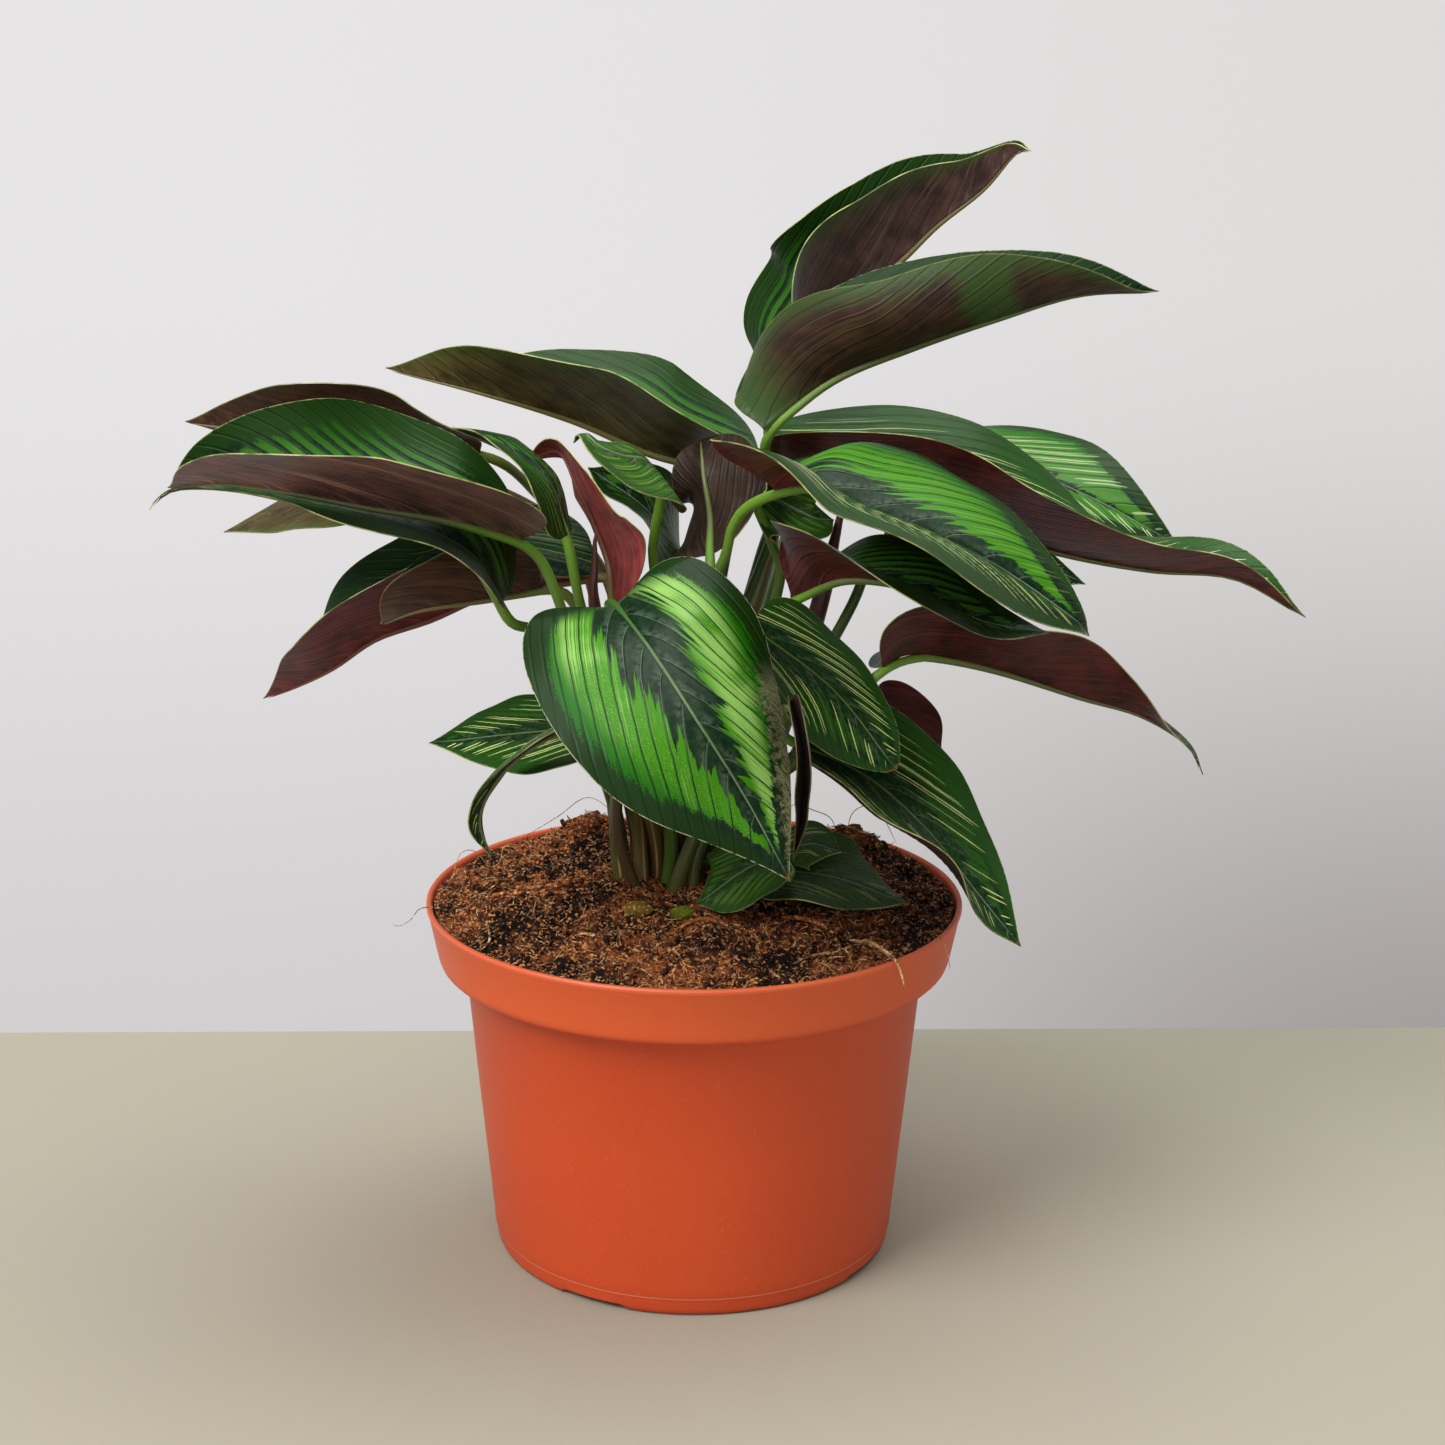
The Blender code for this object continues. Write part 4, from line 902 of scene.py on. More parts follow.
def make_blade(leaf, number, finishes):
    size = leaf.length * leaf.width
    rows, columns = (110, 48) if size > 5000 else (76, 34) if size > 1800 else (50, 24)
    piece, u, v = laid_grid(
        leaf.name + "_blade", rows, columns, lambda u, v: leaf.surface(*leaf.flat(u**1.4, across(v)))
    )
    for finish in finishes:
        piece.data.materials.append(finish)
    s, out = u**1.4, across(v)
    x, y = leaf.flat(s, out)
    vein, vein_gap = leaf.vein_count(x, y)
    half_width = leaf.outline(s)[1] * np.where(out > 0, *leaf.halves)
    off_rib = half_width * np.abs(out)
    keep_vectors(piece, "vein", vein, out, np.full(len(s), 1.37 * number + 0.5))
    keep_vectors(piece, "edge", off_rib, half_width * (1 - np.abs(out)), vein_gap)
    keep_vectors(piece, "run", x / leaf.length, x, y)
    facing = np.empty(len(s) * 3)
    piece.data.vertex_normals.foreach_get("vector", facing)
    body = np.sin(np.pi * np.abs(out)) ** 0.8 * np.sin(np.pi * s) ** 0.5
    folds = np.cos(2 * np.pi * (vein + 0.45 * (out > 0))) * body * np.clip(vein_gap / 3, 0, 1)
    folds = folds * FOLD_DEPTH * min(1, leaf.width / 45)
    groove = -GROOVE_DEPTH * np.exp(-((off_rib / 0.9) ** 2)) * np.clip(half_width / 4, 0, 1)
    wave = np.sin(2 * np.pi * (WAVES * s + 0.23 * number) + 2.0 * (out > 0))
    wave = wave * np.abs(out) ** 3 * half_width * WAVE_DEPTH
    height = folds + groove + wave * np.sin(np.pi * s)
    set_points(piece, points_of(piece) + facing.reshape(-1, 3) * height[:, None] * MM)
    merge_doubles()
    wall = piece.modifiers.new("thickness", "SOLIDIFY")
    wall.thickness = BLADE_THICKNESS * MM
    wall.offset = 0
    wall.material_offset = 1
    wall.material_offset_rim = 2
    bpy.ops.object.modifier_apply(modifier=wall.name)
    bpy.ops.object.shade_smooth_by_angle(angle=math.radians(55))
    return piece


print("blade maker ready")

# %% [markdown]
# The stalk is a round tube from the mix to the collar. It widens to a sheath at its foot and swells a
# little in the joint just under the blade, then runs on under the blade as the midrib, which stands out
# from the leaf's underside and thins out to the tip. It is laid from a grid too, closed on itself.
# %% Stalk and midrib
STALK_ROWS = 46
RIB_ROWS = 34
ROUND = 10


def tube_lay(line, radii, flute=0.0, turns=0.0):
    """A lay() for laid_grid: a round tube with pointed ends. flute makes an overlapping edge."""
    tangents = unit(np.gradient(line, axis=0))
    sides = carried_sides(tangents, np.cross(tangents[0], (0.3, 1.0, 0.2)))
    others = np.cross(tangents, sides)
    rows = np.linspace(0, 1, len(line))

    def lay(u, v):
        at = [np.stack([np.interp(u, rows, field[:, k]) for k in range(3)], 1)
              for field in (line, sides, others)]
        radius = np.interp(u, rows, radii) * (1 - flute * ((v + turns * u) % 1.0))
        turn = -2 * np.pi * v
        return at[0] + radius[:, None] * (np.cos(turn)[:, None] * at[1] + np.sin(turn)[:, None] * at[2])

    return lay


def stalk_line(leaf):
    """Points and radii from under the mix's surface to the collar, and on under the midrib to the tip."""
    collar = leaf.line[0] - leaf.normal[0] * 0.6
    stalk = even_curve(list(leaf.stalk) + [collar], STALK_ROWS)
    slim = 0.7 if np.linalg.norm(np.subtract(leaf.stalk[0], leaf.stalk[-1])) < 40 else 1.0
    run = np.linspace(0, 1, STALK_ROWS)
    length = np.linalg.norm(np.diff(stalk, axis=0), axis=1).sum()
    to_collar = (1 - run) * length
    sheath = 0.85 * np.exp(-run * length / 16)
    joint = 0.28 * np.exp(-(((to_collar - 6) / 5) ** 2))
    radii = 2.0 - 0.75 * run + sheath + joint
    shares = np.linspace(0.02, 0.985, RIB_ROWS)
    rib_radii = 1.15 * slim * (1 - shares) ** 0.75 * min(1, leaf.width / 45) + 0.12
    under = leaf.surface(shares * leaf.length, np.zeros(RIB_ROWS))
    normals = np.stack([np.interp(shares, leaf.keys, leaf.normal[:, k]) for k in range(3)], 1)
    under = under - normals * (rib_radii * 0.75 + 0.3)[:, None]
    line = np.concatenate([stalk, under])
    radii = np.concatenate([radii * slim, rib_radii])
    near = slice(STALK_ROWS - 7, STALK_ROWS + 4)
    for _ in range(6):
        line[near] = (line[near] * 2 + np.roll(line, 1, 0)[near] + np.roll(line, -1, 0)[near]) / 4
        radii[near] = (radii[near] * 2 + np.roll(radii, 1)[near] + np.roll(radii, -1)[near]) / 4
    radii[0] = radii[-1] = 0.0
    return line, radii


def make_stalk(leaf, number):
    line, radii = stalk_line(leaf)
    piece, u, _ = laid_grid(leaf.name + "_stalk", len(line) - 1, ROUND, tube_lay(line, radii))
    keep_vectors(piece, "vein", 0 * u, 0 * u, np.full(len(u), 1.37 * number + 0.5))
    merge_doubles()
    piece.data.shade_smooth()
    return piece


print("stalk maker ready")

# %% [markdown]
# ## Paint of the upper face
#
# A new leaf is dark blue-green. Between its side veins lie bright feathered strokes or, on other leaves,
# pairs of thin cream lines. One function paints all of them from the leaf's own places: s tells the vein,
# and v how far out along it, so the strokes follow the leaf wherever it bends.
# %% Upper finish
def leaf_places(start):
    vein, v, seed = parts(start.node("ShaderNodeAttribute", {"attribute_name": "vein"}, output=1))
    off_rib, off_rim, gap = parts(start.node("ShaderNodeAttribute", {"attribute_name": "edge"}, output=1))
    run, x, y = parts(start.node("ShaderNodeAttribute", {"attribute_name": "run"}, output=1))
    return vein, v, seed, off_rib, off_rim, gap, run, x, y


def upper_finish(name, base=(24, 50, 24), deep=(10, 30, 16), margin=(30, 60, 16), brush=(26, 96, 6),
                 bright=(60, 124, 14), glow=(122, 170, 66), reach=(0.31, 0.87), brushed=(1.0, 1.0),
                 sparse=0.3, pale=(0.0, 0.0), apart=0.1, lined=(0.0, 0.0), line_colour=(206, 216, 140),
                 line_width=0.21, rim_colour=(160, 166, 110), dry=0.0, gloss=0.36):
    """brushed, lined and pale say how strong the strokes and the lines are, and how pale the strokes, on
    the left and on the right half. reach says between which shares of the half width the strokes lie."""
    made, start = new_finish(name)
    vein, v, seed, off_rib, off_rim, gap, run, x, y = leaf_places(start)
    out = abs(v)
    is_left = rises(v, -0.01, 0.01)
    half = is_left * 3.1 + seed
    place = vein + is_left * 0.45 + (noise(x * 0.05, y * 0.05, half) - 0.5) * 0.5
    phase = place.maths("FRACT", place)
    stroke = place.maths("FLOOR", place)
    to_vein = place.maths("MINIMUM", phase, 1 - phase) * gap
    one_of = noise(stroke * 3.7 + 0.5, half, seed, detail=0.0)
    teeth = noise(place * 2.6, half, seed, detail=1.0)
    hairs = noise(place * 11, out * 1.3, half, detail=3.0, roughness=0.6)
    fine = noise(place * 34, out * 9, half, detail=2.0)
    mottle = noise(x * 0.7, y * 0.7, seed, detail=3.0)
    patch = noise(x * 0.07, y * 0.07, seed, detail=1.0)
    spray = noise(x * 3.6, y * 3.6, seed, detail=1.0)

    inner = reach[0] - run * 0.1 + (teeth - 0.5) * 0.55 + (hairs - 0.5) * 0.14
    narrowing = rises(run, 0.42, 0.98)
    outer = reach[1] - narrowing * narrowing * 0.45 - falls(run, 0.0, 0.3) * 0.13 + (teeth - 0.5) * 0.25
    body = rises(out - inner + (spray - 0.5) * 0.03, -0.008, 0.02)
    body = body * rises(spray - 0.5 - (out - outer) / 0.2 + (hairs - 0.5) * 0.7, -0.03, 0.1)
    ends = rises(run, -0.04, 0.06) * falls(run, 0.86, 0.93)
    amount = is_left * brushed[0] + (1 - is_left) * brushed[1]
    strokes = body * ends * amount * rises(to_vein + (hairs - 0.5) * apart, apart, apart * 1.6 + 0.1)

    far = rises(out + (hairs - 0.5) * 0.4, reach[1] - 0.3, reach[1] - 0.04)
    tone = mixed(far, srgb(*bright), srgb(*brush))
    middle = rises(out, reach[0] - 0.08, reach[0] + 0.12) * falls(out, reach[1] - 0.26, reach[1] - 0.06)
    pale_here = is_left * pale[0] + (1 - is_left) * pale[1]
    paleness = rises(hairs * 0.6 + one_of * 0.4 + patch * 0.5 + pale_here, 0.84, 1.0) * middle * 0.8
    tone = mixed(paleness, tone, srgb(*glow))
    tone = mixed(rises(fine, 0.5, 0.75) * 0.4, tone, srgb(*brush))
    tone = mixed(rises(spray, 0.56, 0.72) * 0.35 * middle, tone, srgb(*glow))
    dark = mixed(rises(mottle, 0.3, 0.7), srgb(*deep), srgb(*base))
    # Painted sheen: silvery patches beside the side veins in the dark inner part of the blade.
    painted_sheen = rises(phase, 0.45, 0.95) * falls(out, 0.2, 0.42) * rises(off_rib, 0.5, 1.5)
    painted_sheen = painted_sheen * rises(mottle, 0.35, 0.6)
    dark = mixed(painted_sheen * 0.22, dark, srgb(108, 126, 100))
    dark = mixed(rises(out, 0.62, 0.86), dark, srgb(*margin))
    colour = mixed(strokes, dark, tone)

    begin = 0.08 + one_of * 0.26
    end = 0.62 + teeth * 0.4
    taper = rises(out - begin, 0.0, 0.15) * falls(out - end, -0.25, 0.0)
    from_line = abs(phase - 0.5) * gap
    from_line = abs(from_line - gap * 0.15 * rises(one_of, 0.48, 0.52))
    lines = falls(from_line / (line_width * (0.3 + 0.7 * taper)), 0.6, 1.0) * rises(taper, 0.02, 0.12)
    line_amount = is_left * lined[0] + (1 - is_left) * lined[1]
    lines = lines * line_amount * rises(one_of, sparse, sparse + 0.06) * falls(run, 0.9, 0.97)
    colour = mixed(lines, colour, srgb(*line_colour))

    side_veins = falls(to_vein, 0.04, 0.14) * falls(out, 0.2, 0.5) * rises(out, 0.01, 0.05) * (1 - strokes)
    colour = mixed(side_veins * 0.2, colour, srgb(150, 170, 140))
    rib = falls(off_rib, 0.1, 0.62 - run * 0.3)
    rib_tone = mixed(rises(run, 0.03, 0.3), srgb(72, 122, 48), srgb(120, 146, 116))
    colour = mixed(rib * falls(run, 0.85, 1.0) * 0.85, colour, rib_tone)
    # A pale line along the margin: partly the leaf's own pale edge, partly a painted highlight where the edge
    # catches the light.
    colour = mixed(falls(off_rim, 0.05, 0.2) * rises(mottle, 0.38, 0.55) * 0.8, colour, srgb(*rim_colour))
    if dry:
        parched = rises(out + (mottle - 0.5) * 0.8 + (patch - 0.5) * 0.3, 0.62, 0.84) * is_left * dry
        parched = parched * rises(run, 0.34, 0.5) * rises(spray, 0.38, 0.5)
        straw = mixed(rises(fine, 0.35, 0.65), srgb(88, 90, 56), srgb(158, 150, 116))
        colour = mixed(parched * 0.85, colour, straw)
    colour = mixed(rises(run + mottle * 0.03, 0.99, 1.0), colour, srgb(104, 78, 48))

    roughness = gloss + (fine - 0.5) * 0.16 + lines * 0.1
    height = fine * 0.3 + rises(to_vein, 0.1, 0.5) * 0.8 + mottle * 0.2 - rib * 0.6
    return finish_with(made, colour, roughness, height, depth=0.16, Specular_IOR_Level=0.16)


print("upper finish ready")

# %% [markdown]
# The underside is wine red to olive. The same places paint it: paler streaks along the side veins, on
# some leaves a greener edge and base, and on one a green band across it, and a soft bloom, which is a little
# sheen on the shader. The green at the base and in the band is painted light shining through the thin
# blade, and the green edge is partly the leaf's own tone and partly such painted light.
# %% Under finish
def under_finish(name, base=(104, 38, 40), deep=(60, 18, 22), streak=(132, 66, 62),
                 rim_colour=(140, 130, 70), green=(80, 96, 50), gloss=0.42, bloom=0.02, edged=0.0, band=None):
    """edged says how green the edge is, and band how far along the leaf a green band crosses it."""
    made, start = new_finish(name)
    vein, v, seed, _, off_rim, gap, run, x, y = leaf_places(start)
    out = abs(v)
    is_left = rises(v, -0.01, 0.01)
    half = is_left * 3.1 + seed
    place = vein + is_left * 0.45 + (noise(x * 0.05, y * 0.05, half) - 0.5) * 0.6
    phase = place.maths("FRACT", place)
    to_vein = place.maths("MINIMUM", phase, 1 - phase) * gap
    streaks = noise(place * 4, out * 1.6, half, detail=4.0, roughness=0.65)
    fine = noise(place * 40, out * 16, half, detail=2.0)
    mottle = noise(x * 0.16, y * 0.16, seed, detail=4.0)
    colour = mixed(rises(mottle, 0.3, 0.7), srgb(*deep), srgb(*base))
    colour = mixed(rises(streaks, 0.48, 0.75) * 0.8, colour, srgb(*streak))
    # Painted light: green at the edge and the base, and in the band, for light shining through the thin
    # blade; at the edge it is partly the leaf's own tone.
    edge = rises(out + (streaks - 0.5) * 0.5, 0.7, 1.02) + falls(run + streaks * 0.06, 0.05, 0.2)
    if band:
        along = run + (streaks - 0.5) * 0.1
        edge = edge + rises(along, band - 0.08, band - 0.04) * falls(along, band + 0.03, band + 0.07)
    full = rises(edge, 1.0, 1.01) * edged
    colour = mixed(falls(edge, 1.0, 1.01) * edge * edged + full, colour, srgb(*green))
    colour = mixed(falls(to_vein, 0.1, 0.4) * 0.4, colour, srgb(*deep))
    colour = mixed(falls(off_rim, 0.05, 0.25) * 0.7, colour, srgb(*rim_colour))
    roughness = gloss + (fine - 0.5) * 0.2
    height = fine * 0.4 + falls(to_vein, 0.1, 0.5) * 0.9 + mottle * 0.25
    return finish_with(made, colour, roughness, height, depth=0.16, Sheen_Weight=bloom, Sheen_Roughness=0.4,
                       Specular_IOR_Level=0.25)


print("under finish ready")

# %% [markdown]
# Stalks are olive or maroon at the foot and turn yellow-green towards the joint under the blade, with fine
# streaks along them. The tube's own UV map tells the place along it: 0 at the foot and 1 at the leaf's tip.
# %% Stalk finish
def stalk_finish(name, foot, shaft, joint, rib):
    made, start = new_finish(name)
    u, v, _ = parts(start.node("ShaderNodeUVMap", {"uv_map": "UVMap"}))
    collar = STALK_ROWS / (STALK_ROWS + RIB_ROWS)
    seed = parts(start.node("ShaderNodeAttribute", {"attribute_name": "vein"}, output=1))[2]
    streaks = noise(u * 5, v * 26, seed, detail=3.0)
    spots = grain(start, 900, detail=2.0)
    colour = mixed(rises(u + streaks * 0.12, 0.06, 0.3), srgb(*foot), srgb(*shaft))
    colour = mixed(rises(u, collar - 0.2, collar - 0.06), colour, srgb(*joint))
    colour = mixed(rises(u, collar, collar + 0.12), colour, srgb(*rib))
    colour = mixed(rises(streaks, 0.52, 0.75) * 0.35, colour, srgb(150, 140, 84))
    turned_to = seed.maths("FRACT", seed * 2.3)
    sheath_edge = falls(abs(v - 0.15 - turned_to * 0.7 + u * 0.3), 0.012, 0.035) * falls(u, 0.1, 0.3)
    colour = mixed(sheath_edge * 0.8, colour, srgb(196, 168, 108))
    colour = mixed(rises(spots, 0.66, 0.75) * 0.5, colour, srgb(60, 38, 26))
    return finish_with(made, colour, 0.38 + streaks * 0.12, height=streaks + spots * 0.3, depth=0.12)


STALKS = {
    "green": stalk_finish("stalk_green", (92, 84, 38), (64, 90, 26), (100, 142, 38), (88, 98, 48)),
    "deep_green": stalk_finish("stalk_deep_green", (80, 110, 34), (64, 96, 28), (52, 92, 24), (70, 96, 40)),
    "olive": stalk_finish("stalk_olive", (110, 76, 46), (92, 86, 38), (112, 130, 48), (114, 104, 58)),
    "maroon": stalk_finish("stalk_maroon", (96, 56, 38), (92, 50, 36), (112, 92, 46), (110, 60, 50)),
}
UPPERS = {
    "painted_dry": upper_finish("leaf_painted_dry", dry=1.0, pale=(0.26, 0.03), reach=(0.31, 0.83),
                                margin=(20, 46, 8), brush=(24, 92, 2), bright=(58, 122, 6),
                                glow=(146, 190, 96), rim_colour=(190, 194, 150)),
    "painted_far": upper_finish("leaf_painted_far", brushed=(1.0, 0.2), lined=(0.12, 0.85), reach=(0.26, 0.8),
                                glow=(100, 160, 50)),
    "striped_bright": upper_finish("leaf_striped_bright", brush=(40, 106, 20), bright=(66, 124, 34),
                                   glow=(116, 154, 82), reach=(0.16, 0.9), lined=(0.6, 0.8),
                                   line_colour=(200, 214, 160), line_width=0.34, base=(30, 62, 28)),
    "pinstriped": upper_finish("leaf_pinstriped", brushed=(0.3, 0.3), reach=(0.4, 0.85), lined=(0.95, 0.95),
                               base=(34, 68, 26), deep=(17, 42, 20), margin=(38, 76, 24),
                               brush=(44, 106, 18)),
    "plain_dark": upper_finish("leaf_plain_dark", brushed=(0.18, 0.18), lined=(0.2, 0.2), base=(28, 56, 28),
                               margin=(28, 54, 24), brush=(60, 100, 40)),
    "soft_green": upper_finish("leaf_soft_green", brushed=(0.3, 0.3), lined=(0.2, 0.2), base=(46, 80, 24),
                               deep=(30, 58, 18), margin=(44, 78, 22), brush=(84, 124, 36)),
    "soil_green": upper_finish("leaf_soil_green", brushed=(0.12, 0.12), lined=(0.65, 0.65), base=(56, 86, 32),
                               deep=(38, 62, 28), margin=(50, 78, 28), brush=(70, 110, 36), sparse=0.46,
                               line_width=0.16, gloss=0.52),
    "mid_green": upper_finish("leaf_mid_green", brushed=(0.85, 0.85), base=(28, 56, 22), brush=(38, 92, 16),
                              bright=(56, 112, 24), glow=(92, 144, 54), apart=0.55, reach=(0.26, 0.8)),
}
UNDERS = {
    "wine": under_finish("under_wine"),
    "dark_wine": under_finish("under_dark_wine", base=(88, 30, 26), deep=(50, 16, 14), streak=(108, 52, 44)),
    "violet": under_finish("under_violet", base=(96, 66, 62), deep=(62, 42, 40), streak=(124, 104, 98),
                           bloom=0.15, green=(66, 96, 40), edged=0.7),
    "green_edged": under_finish("under_green_edged", base=(68, 42, 30), deep=(44, 26, 20),
                                streak=(72, 66, 38), green=(48, 86, 28), edged=0.7, band=0.6),
    "brown": under_finish("under_brown", base=(80, 46, 30), deep=(46, 24, 16), streak=(104, 72, 44)),
    "olive": under_finish("under_olive", base=(90, 74, 40), deep=(58, 48, 24), streak=(104, 102, 52),
                          green=(66, 96, 34), edged=0.6),
    "dark": under_finish("under_dark", base=(50, 32, 20), deep=(26, 16, 10), streak=(74, 54, 34),
                         rim_colour=(96, 84, 52)),
    "maroon": under_finish("under_maroon", base=(160, 64, 60), deep=(112, 40, 40), streak=(176, 92, 84)),
    "lined": upper_finish("under_lined", brushed=(0.1, 0.1), lined=(0.9, 0.9), base=(30, 54, 30),
                          deep=(14, 30, 20), line_width=0.2),
    "pink": under_finish("under_pink", base=(104, 58, 50), deep=(64, 34, 28), streak=(156, 118, 104),
                         bloom=0.1),
}
# The rim's cream is partly wear and partly a painted highlight where the thin edge catches the light.
made, start = new_finish("leaf_rim")
wear_and_highlight = grain(start, 90)
RIM = finish_with(made, mixed(rises(wear_and_highlight, 0.4, 0.6), srgb(70, 84, 34), srgb(166, 168, 104)), 0.5)
print(len(STALKS), "stalk finishes,", len(UPPERS), "upper finishes,", len(UNDERS), "under finishes")

# %% [markdown]
# ## The leaves
#
# Each leaf gets the finishes that the photograph shows on it, for its upper face, its underside and its
# stalk, and stands for its CAD node. The thin rim between the faces is green and cream: partly worn, and
# partly a painted highlight where the edge catches the light.
# %% Making the leaves
LOOKS = {
    "leaf_front": ("painted_dry", "wine", "deep_green"),
    "leaf_right_pinstripe": ("pinstriped", "dark", "green"),
    "leaf_right_low": ("pinstriped", "dark", "green"),
    "leaf_right_drooping": ("plain_dark", "dark_wine", "green"),
    "leaf_right_front": ("painted_far", "wine", "green"),
    "leaf_right_mid": ("mid_green", "dark_wine", "green"),
    "leaf_right_long": ("pinstriped", "dark_wine", "green"),
    "leaf_right_upper": ("striped_bright", "olive", "green"),
    "leaf_top_right": ("plain_dark", "green_edged", "green"),
    "leaf_top": ("mid_green", "violet", "olive"),
    "leaf_upper_left": ("mid_green", "olive", "olive"),
    "leaf_left_big": ("mid_green", "pink", "green"),
    "leaf_left_back": ("plain_dark", "brown", "olive"),
    "leaf_left_under": ("mid_green", "brown", "green"),
    "leaf_left_tip": ("olive", "dark", "maroon"),
    "leaf_left_low": ("plain_dark", "wine", "maroon"),
    "leaf_left_low_front": ("plain_dark", "brown", "olive"),
    "leaf_low_left_pinstripe": ("pinstriped", "dark", "olive"),
    "leaf_low_left_twisted": ("pinstriped", "lined", "olive"),
    "leaf_soil_front": ("soft_green", "olive", "green"),
    "leaf_soil_tip": ("soil_green", "olive", "green"),
    "leaf_soil_right": ("soil_green", "olive", "green"),
    # Painted shade: this leaf hangs in shadow behind the right margin of leaf_front, so both faces, and its
    # rim, take the dark brown finish.
    "leaf_hanging": ("dark", "dark", "olive"),
    "leaf_centre_wavy": ("soft_green", "brown", "green"),
    "leaf_centre_purple": ("plain_dark", "dark", "green"),
    "leaf_centre_green": ("mid_green", "brown", "green"),
    "leaf_maroon": ("plain_dark", "maroon", "maroon"),
    "leaf_left_centre": ("mid_green", "brown", "green"),
    "leaf_right_behind": ("plain_dark", "dark", "green"),
    "leaf_right_low_back": ("dark_wine", "plain_dark", "green"),
    "leaf_young_centre": ("soft_green", "brown", "green"),
}
FACES = {**UPPERS, **UNDERS}
faces = 0
for number, leaf in enumerate(LEAVES):
    upper, under, stalk_look = LOOKS[leaf.name]
    rim = FACES["dark"] if upper == under else RIM
    blade = make_blade(leaf, number, (FACES[upper], FACES[under], rim))
    stalk = make_stalk(leaf, number)
    stalk.data.materials.append(STALKS[stalk_look])
    for piece in (blade, stalk):
        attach(piece, "root")
        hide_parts(leaf.name)
        faces += len(piece.data.polygons)
print("leaves:", faces, "faces")

# %% [markdown]
# ## Rolled leaves
#
# Two young leaves are still rolled up like a spill of paper. The tube's radius steps once round, and the
# step winds along it, which gives the overlapping edge of the roll.
# %% Rolled leaves
SPEAR_ROWS = 59
# Each is its name, its points from the foot in the mix to the tip, and its radii along them
SPEARS = (
    ("leaf_rolled", [(8, 20, 98), (17, 17, 124), (26, 10, 155), (34, 5, 185), (38, 7, 203), (41, 7, 218)],
     (2.1, 2.0, 2.4, 2.7, 2.5, 0.5)),
    ("leaf_spike", [(-12, -12, 98), (-21, -16, 126), (-21, -20, 159), (-27, -21, 192), (-27, -21, 203),
                    (-27, -20, 212)],
     (1.8, 1.7, 1.5, 1.4, 1.9, 0.4)),
)
made, start = new_finish("rolled_maroon")
u, v, _ = parts(start.node("ShaderNodeUVMap", {"uv_map": "UVMap"}))
streaks = noise(u * 30, v * 16, u * 0.0, detail=3.0)
tone = mixed(rises(u, 0.3, 0.6), srgb(78, 62, 36), srgb(66, 30, 28))
tone = mixed(rises(streaks, 0.5, 0.75) * 0.5, tone, srgb(116, 70, 58))
spear_finish = finish_with(made, tone, 0.34 + streaks * 0.15, height=streaks, depth=0.15)
for name, points, radii in SPEARS:
    line = even_curve(points, SPEAR_ROWS + 1)
    thick = np.interp(np.linspace(0, 1, SPEAR_ROWS + 1), np.linspace(0, 1, len(radii)), radii) * 1.06
    thick[0] = thick[-1] = 0.0
    spear, *_ = laid_grid(name + "_look", SPEAR_ROWS, 20, tube_lay(line, thick, flute=0.14, turns=1.6))
    merge_doubles()
    spear.data.materials.append(spear_finish)
    spear.data.shade_smooth()
    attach(spear, "root")
    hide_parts(name)
    print(name, len(spear.data.polygons), "faces")

# %% [markdown]
# ## Strands and hairs
#
# A few coarse strands, several centimetres long, lie across the mix, and some thin pale hairs stand up from
# the clods or hang over the lip. Each is a closed tube laid along a curve that follows the mix.
# %% Strands and hairs
STRAND_ROWS = 22
STRAND_SIDES = 6


def strand(name, points, radius, finish):
    """A bent fibre through places in millimetres."""
    radii = radius * np.sin(np.pi * np.linspace(0, 1, STRAND_ROWS + 1)) ** 0.4
    line = even_curve(points, STRAND_ROWS + 1)
    piece, *_ = laid_grid(name, STRAND_ROWS, STRAND_SIDES, tube_lay(line, radii))
    merge_doubles()
    piece.data.materials.append(finish)
    piece.data.shade_smooth()
    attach(piece, "root")


CRUMBLE_SINK = 1.3    # how far the crumbled surface lies below mix_height, on average


def over_mix(points):
    """Turns a height over the crumbled mix into a height over the floor."""
    return [(x, y, float(mix_height(x, y)) - CRUMBLE_SINK + up) for x, y, up in points]


def rooted(points):
    """The same places in millimetres, after a root that is sunk in the mix beside the first of them."""
    (x, y, _), (next_x, next_y, _) = points[:2]
    x, y = 1.3 * x - 0.3 * next_x, 1.3 * y - 0.3 * next_y
    return [(x, y, float(mix_height(x, y)) - 5.0), *points]


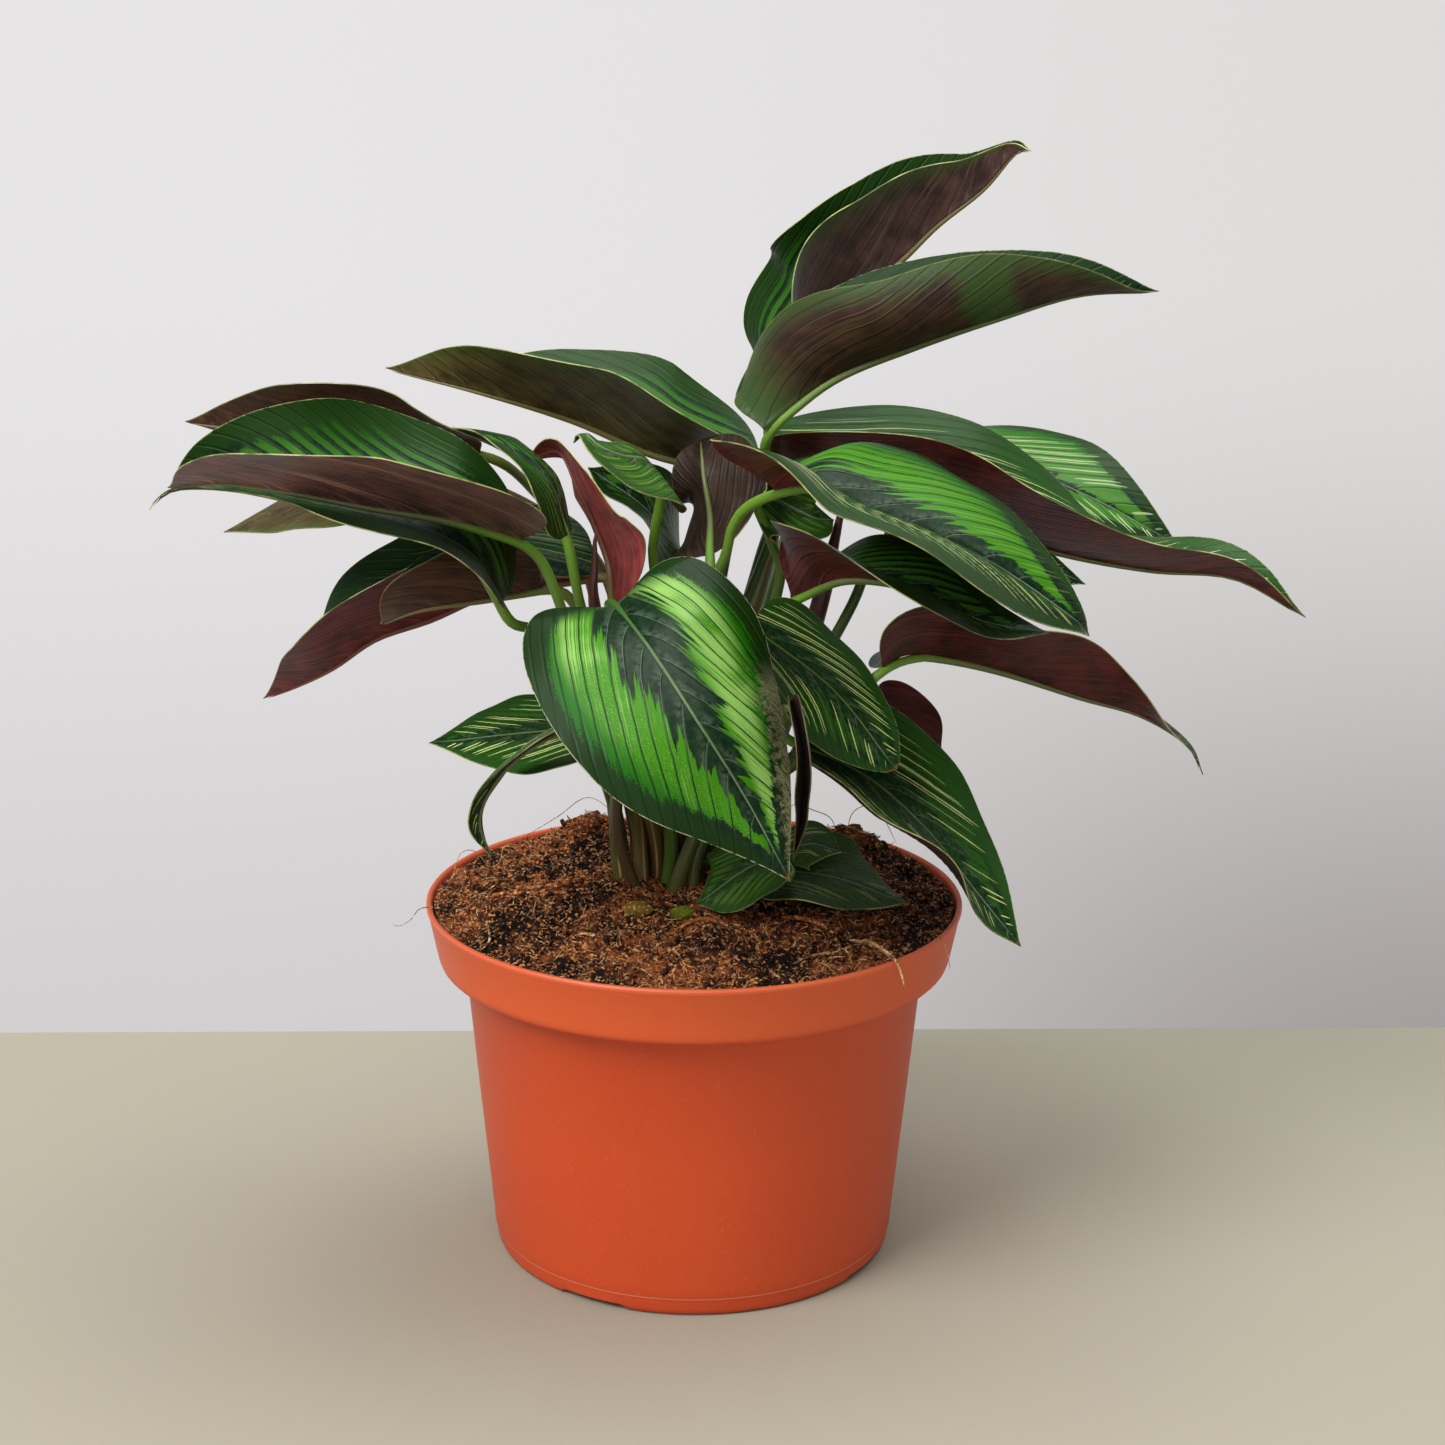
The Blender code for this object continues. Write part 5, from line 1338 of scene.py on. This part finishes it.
# Each strand is its places x, y and height over the mix, in millimetres
STRANDS_BROWN = (
    [(-68, -8, 0.5), (-58, -2, 1.4), (-45, -6, 1.2), (-30, -4, 1.6)],
    [(-66, -14, 0.5), (-55, -12, 2.0), (-40, -15, 1.3), (-26, -10, 0.8)],
    [(-60, 6, 0.4), (-50, 2, 2.2), (-38, 3, 1.6), (-24, -2, 0.9)],
    [(-52, -20, 0.3), (-42, -14, 1.8), (-33, -6, 1.6), (-30, 4, 0.8)],
    [(-18, -34, 0.4), (-10, -30, 2.6), (-2, -33, 2.4), (6, -38, 0.6)],
    [(20, -30, 0.4), (30, -34, 2.2), (38, -42, 2.5), (40, -52, 0.8)],
    [(-8, -44, 0.4), (2, -40, 2.8), (12, -42, 1.9), (16, -50, 0.8)],
    [(34, -8, 0.4), (44, -2, 2.2), (56, -4, 1.6), (64, 2, 0.8)],
)
STRANDS_PALE = (
    [(-58, -30, 0.5), (-56, -36, 3.4), (-55, -42, 2.0), (-58, -46, 0.6)],
    [(-34, -44, 0.6), (-30, -42, 1.8), (-26, -44, 1.3), (-20, -43, 0.8)],
    [(26, -56, 0.6), (32, -54, 2.2), (38, -50, 1.6), (43, -44, 0.8)],
    [(40, -40, -0.4), (44, -44, 2.2), (49, -46, 2.8), (54, -48, 0.2)],
)
HAIRS = (
    [(-22, 40, 2), (-32, 44, 9), (-42, 46, 7), (-52, 44, 3)],
    [(40, 30, 5), (34, 34, 11), (30, 38, 13), (26, 42, 9)],
    [(46, 30, 6), (52, 34, 12), (56, 36, 10), (60, 38, 4)],
    [(-60, 20, 0.5), (-64, 18, 7), (-68, 14, 8), (-70, 8, 3)],
)
# These start in the mix and hang over the pot's lip, so their heights are over the floor
OVER_LIP = (
    [(46, -45, 106), (51, -51, 105.6), (54, -54.2, 104.2), (55.6, -56, 101), (56.6, -57, 97)],
    [(-70, -16, 103.5), (-76, -18, 104.6), (-79, -19, 101.5), (-82, -20, 100), (-84, -21, 101)],
    [(62, -36, 105), (67, -39, 105), (69, -41, 101.5), (70, -42, 96)],
)
for k, points in enumerate(STRANDS_BROWN):
    strand(f"coir_strand_{k}", over_mix(points), 0.55 + 0.1 * (k % 3), red)
for k, points in enumerate(STRANDS_PALE):
    strand(f"coir_pale_strand_{k}", over_mix(points), 0.42, pale)
for k, points in enumerate([over_mix(points) for points in HAIRS] + list(OVER_LIP)):
    strand(f"coir_hair_{k}", rooted(points), 0.45 if k == len(HAIRS) else 0.13, pale)
print("strands:", len(STRANDS_BROWN) + len(STRANDS_PALE), "hairs:", len(HAIRS) + len(OVER_LIP))
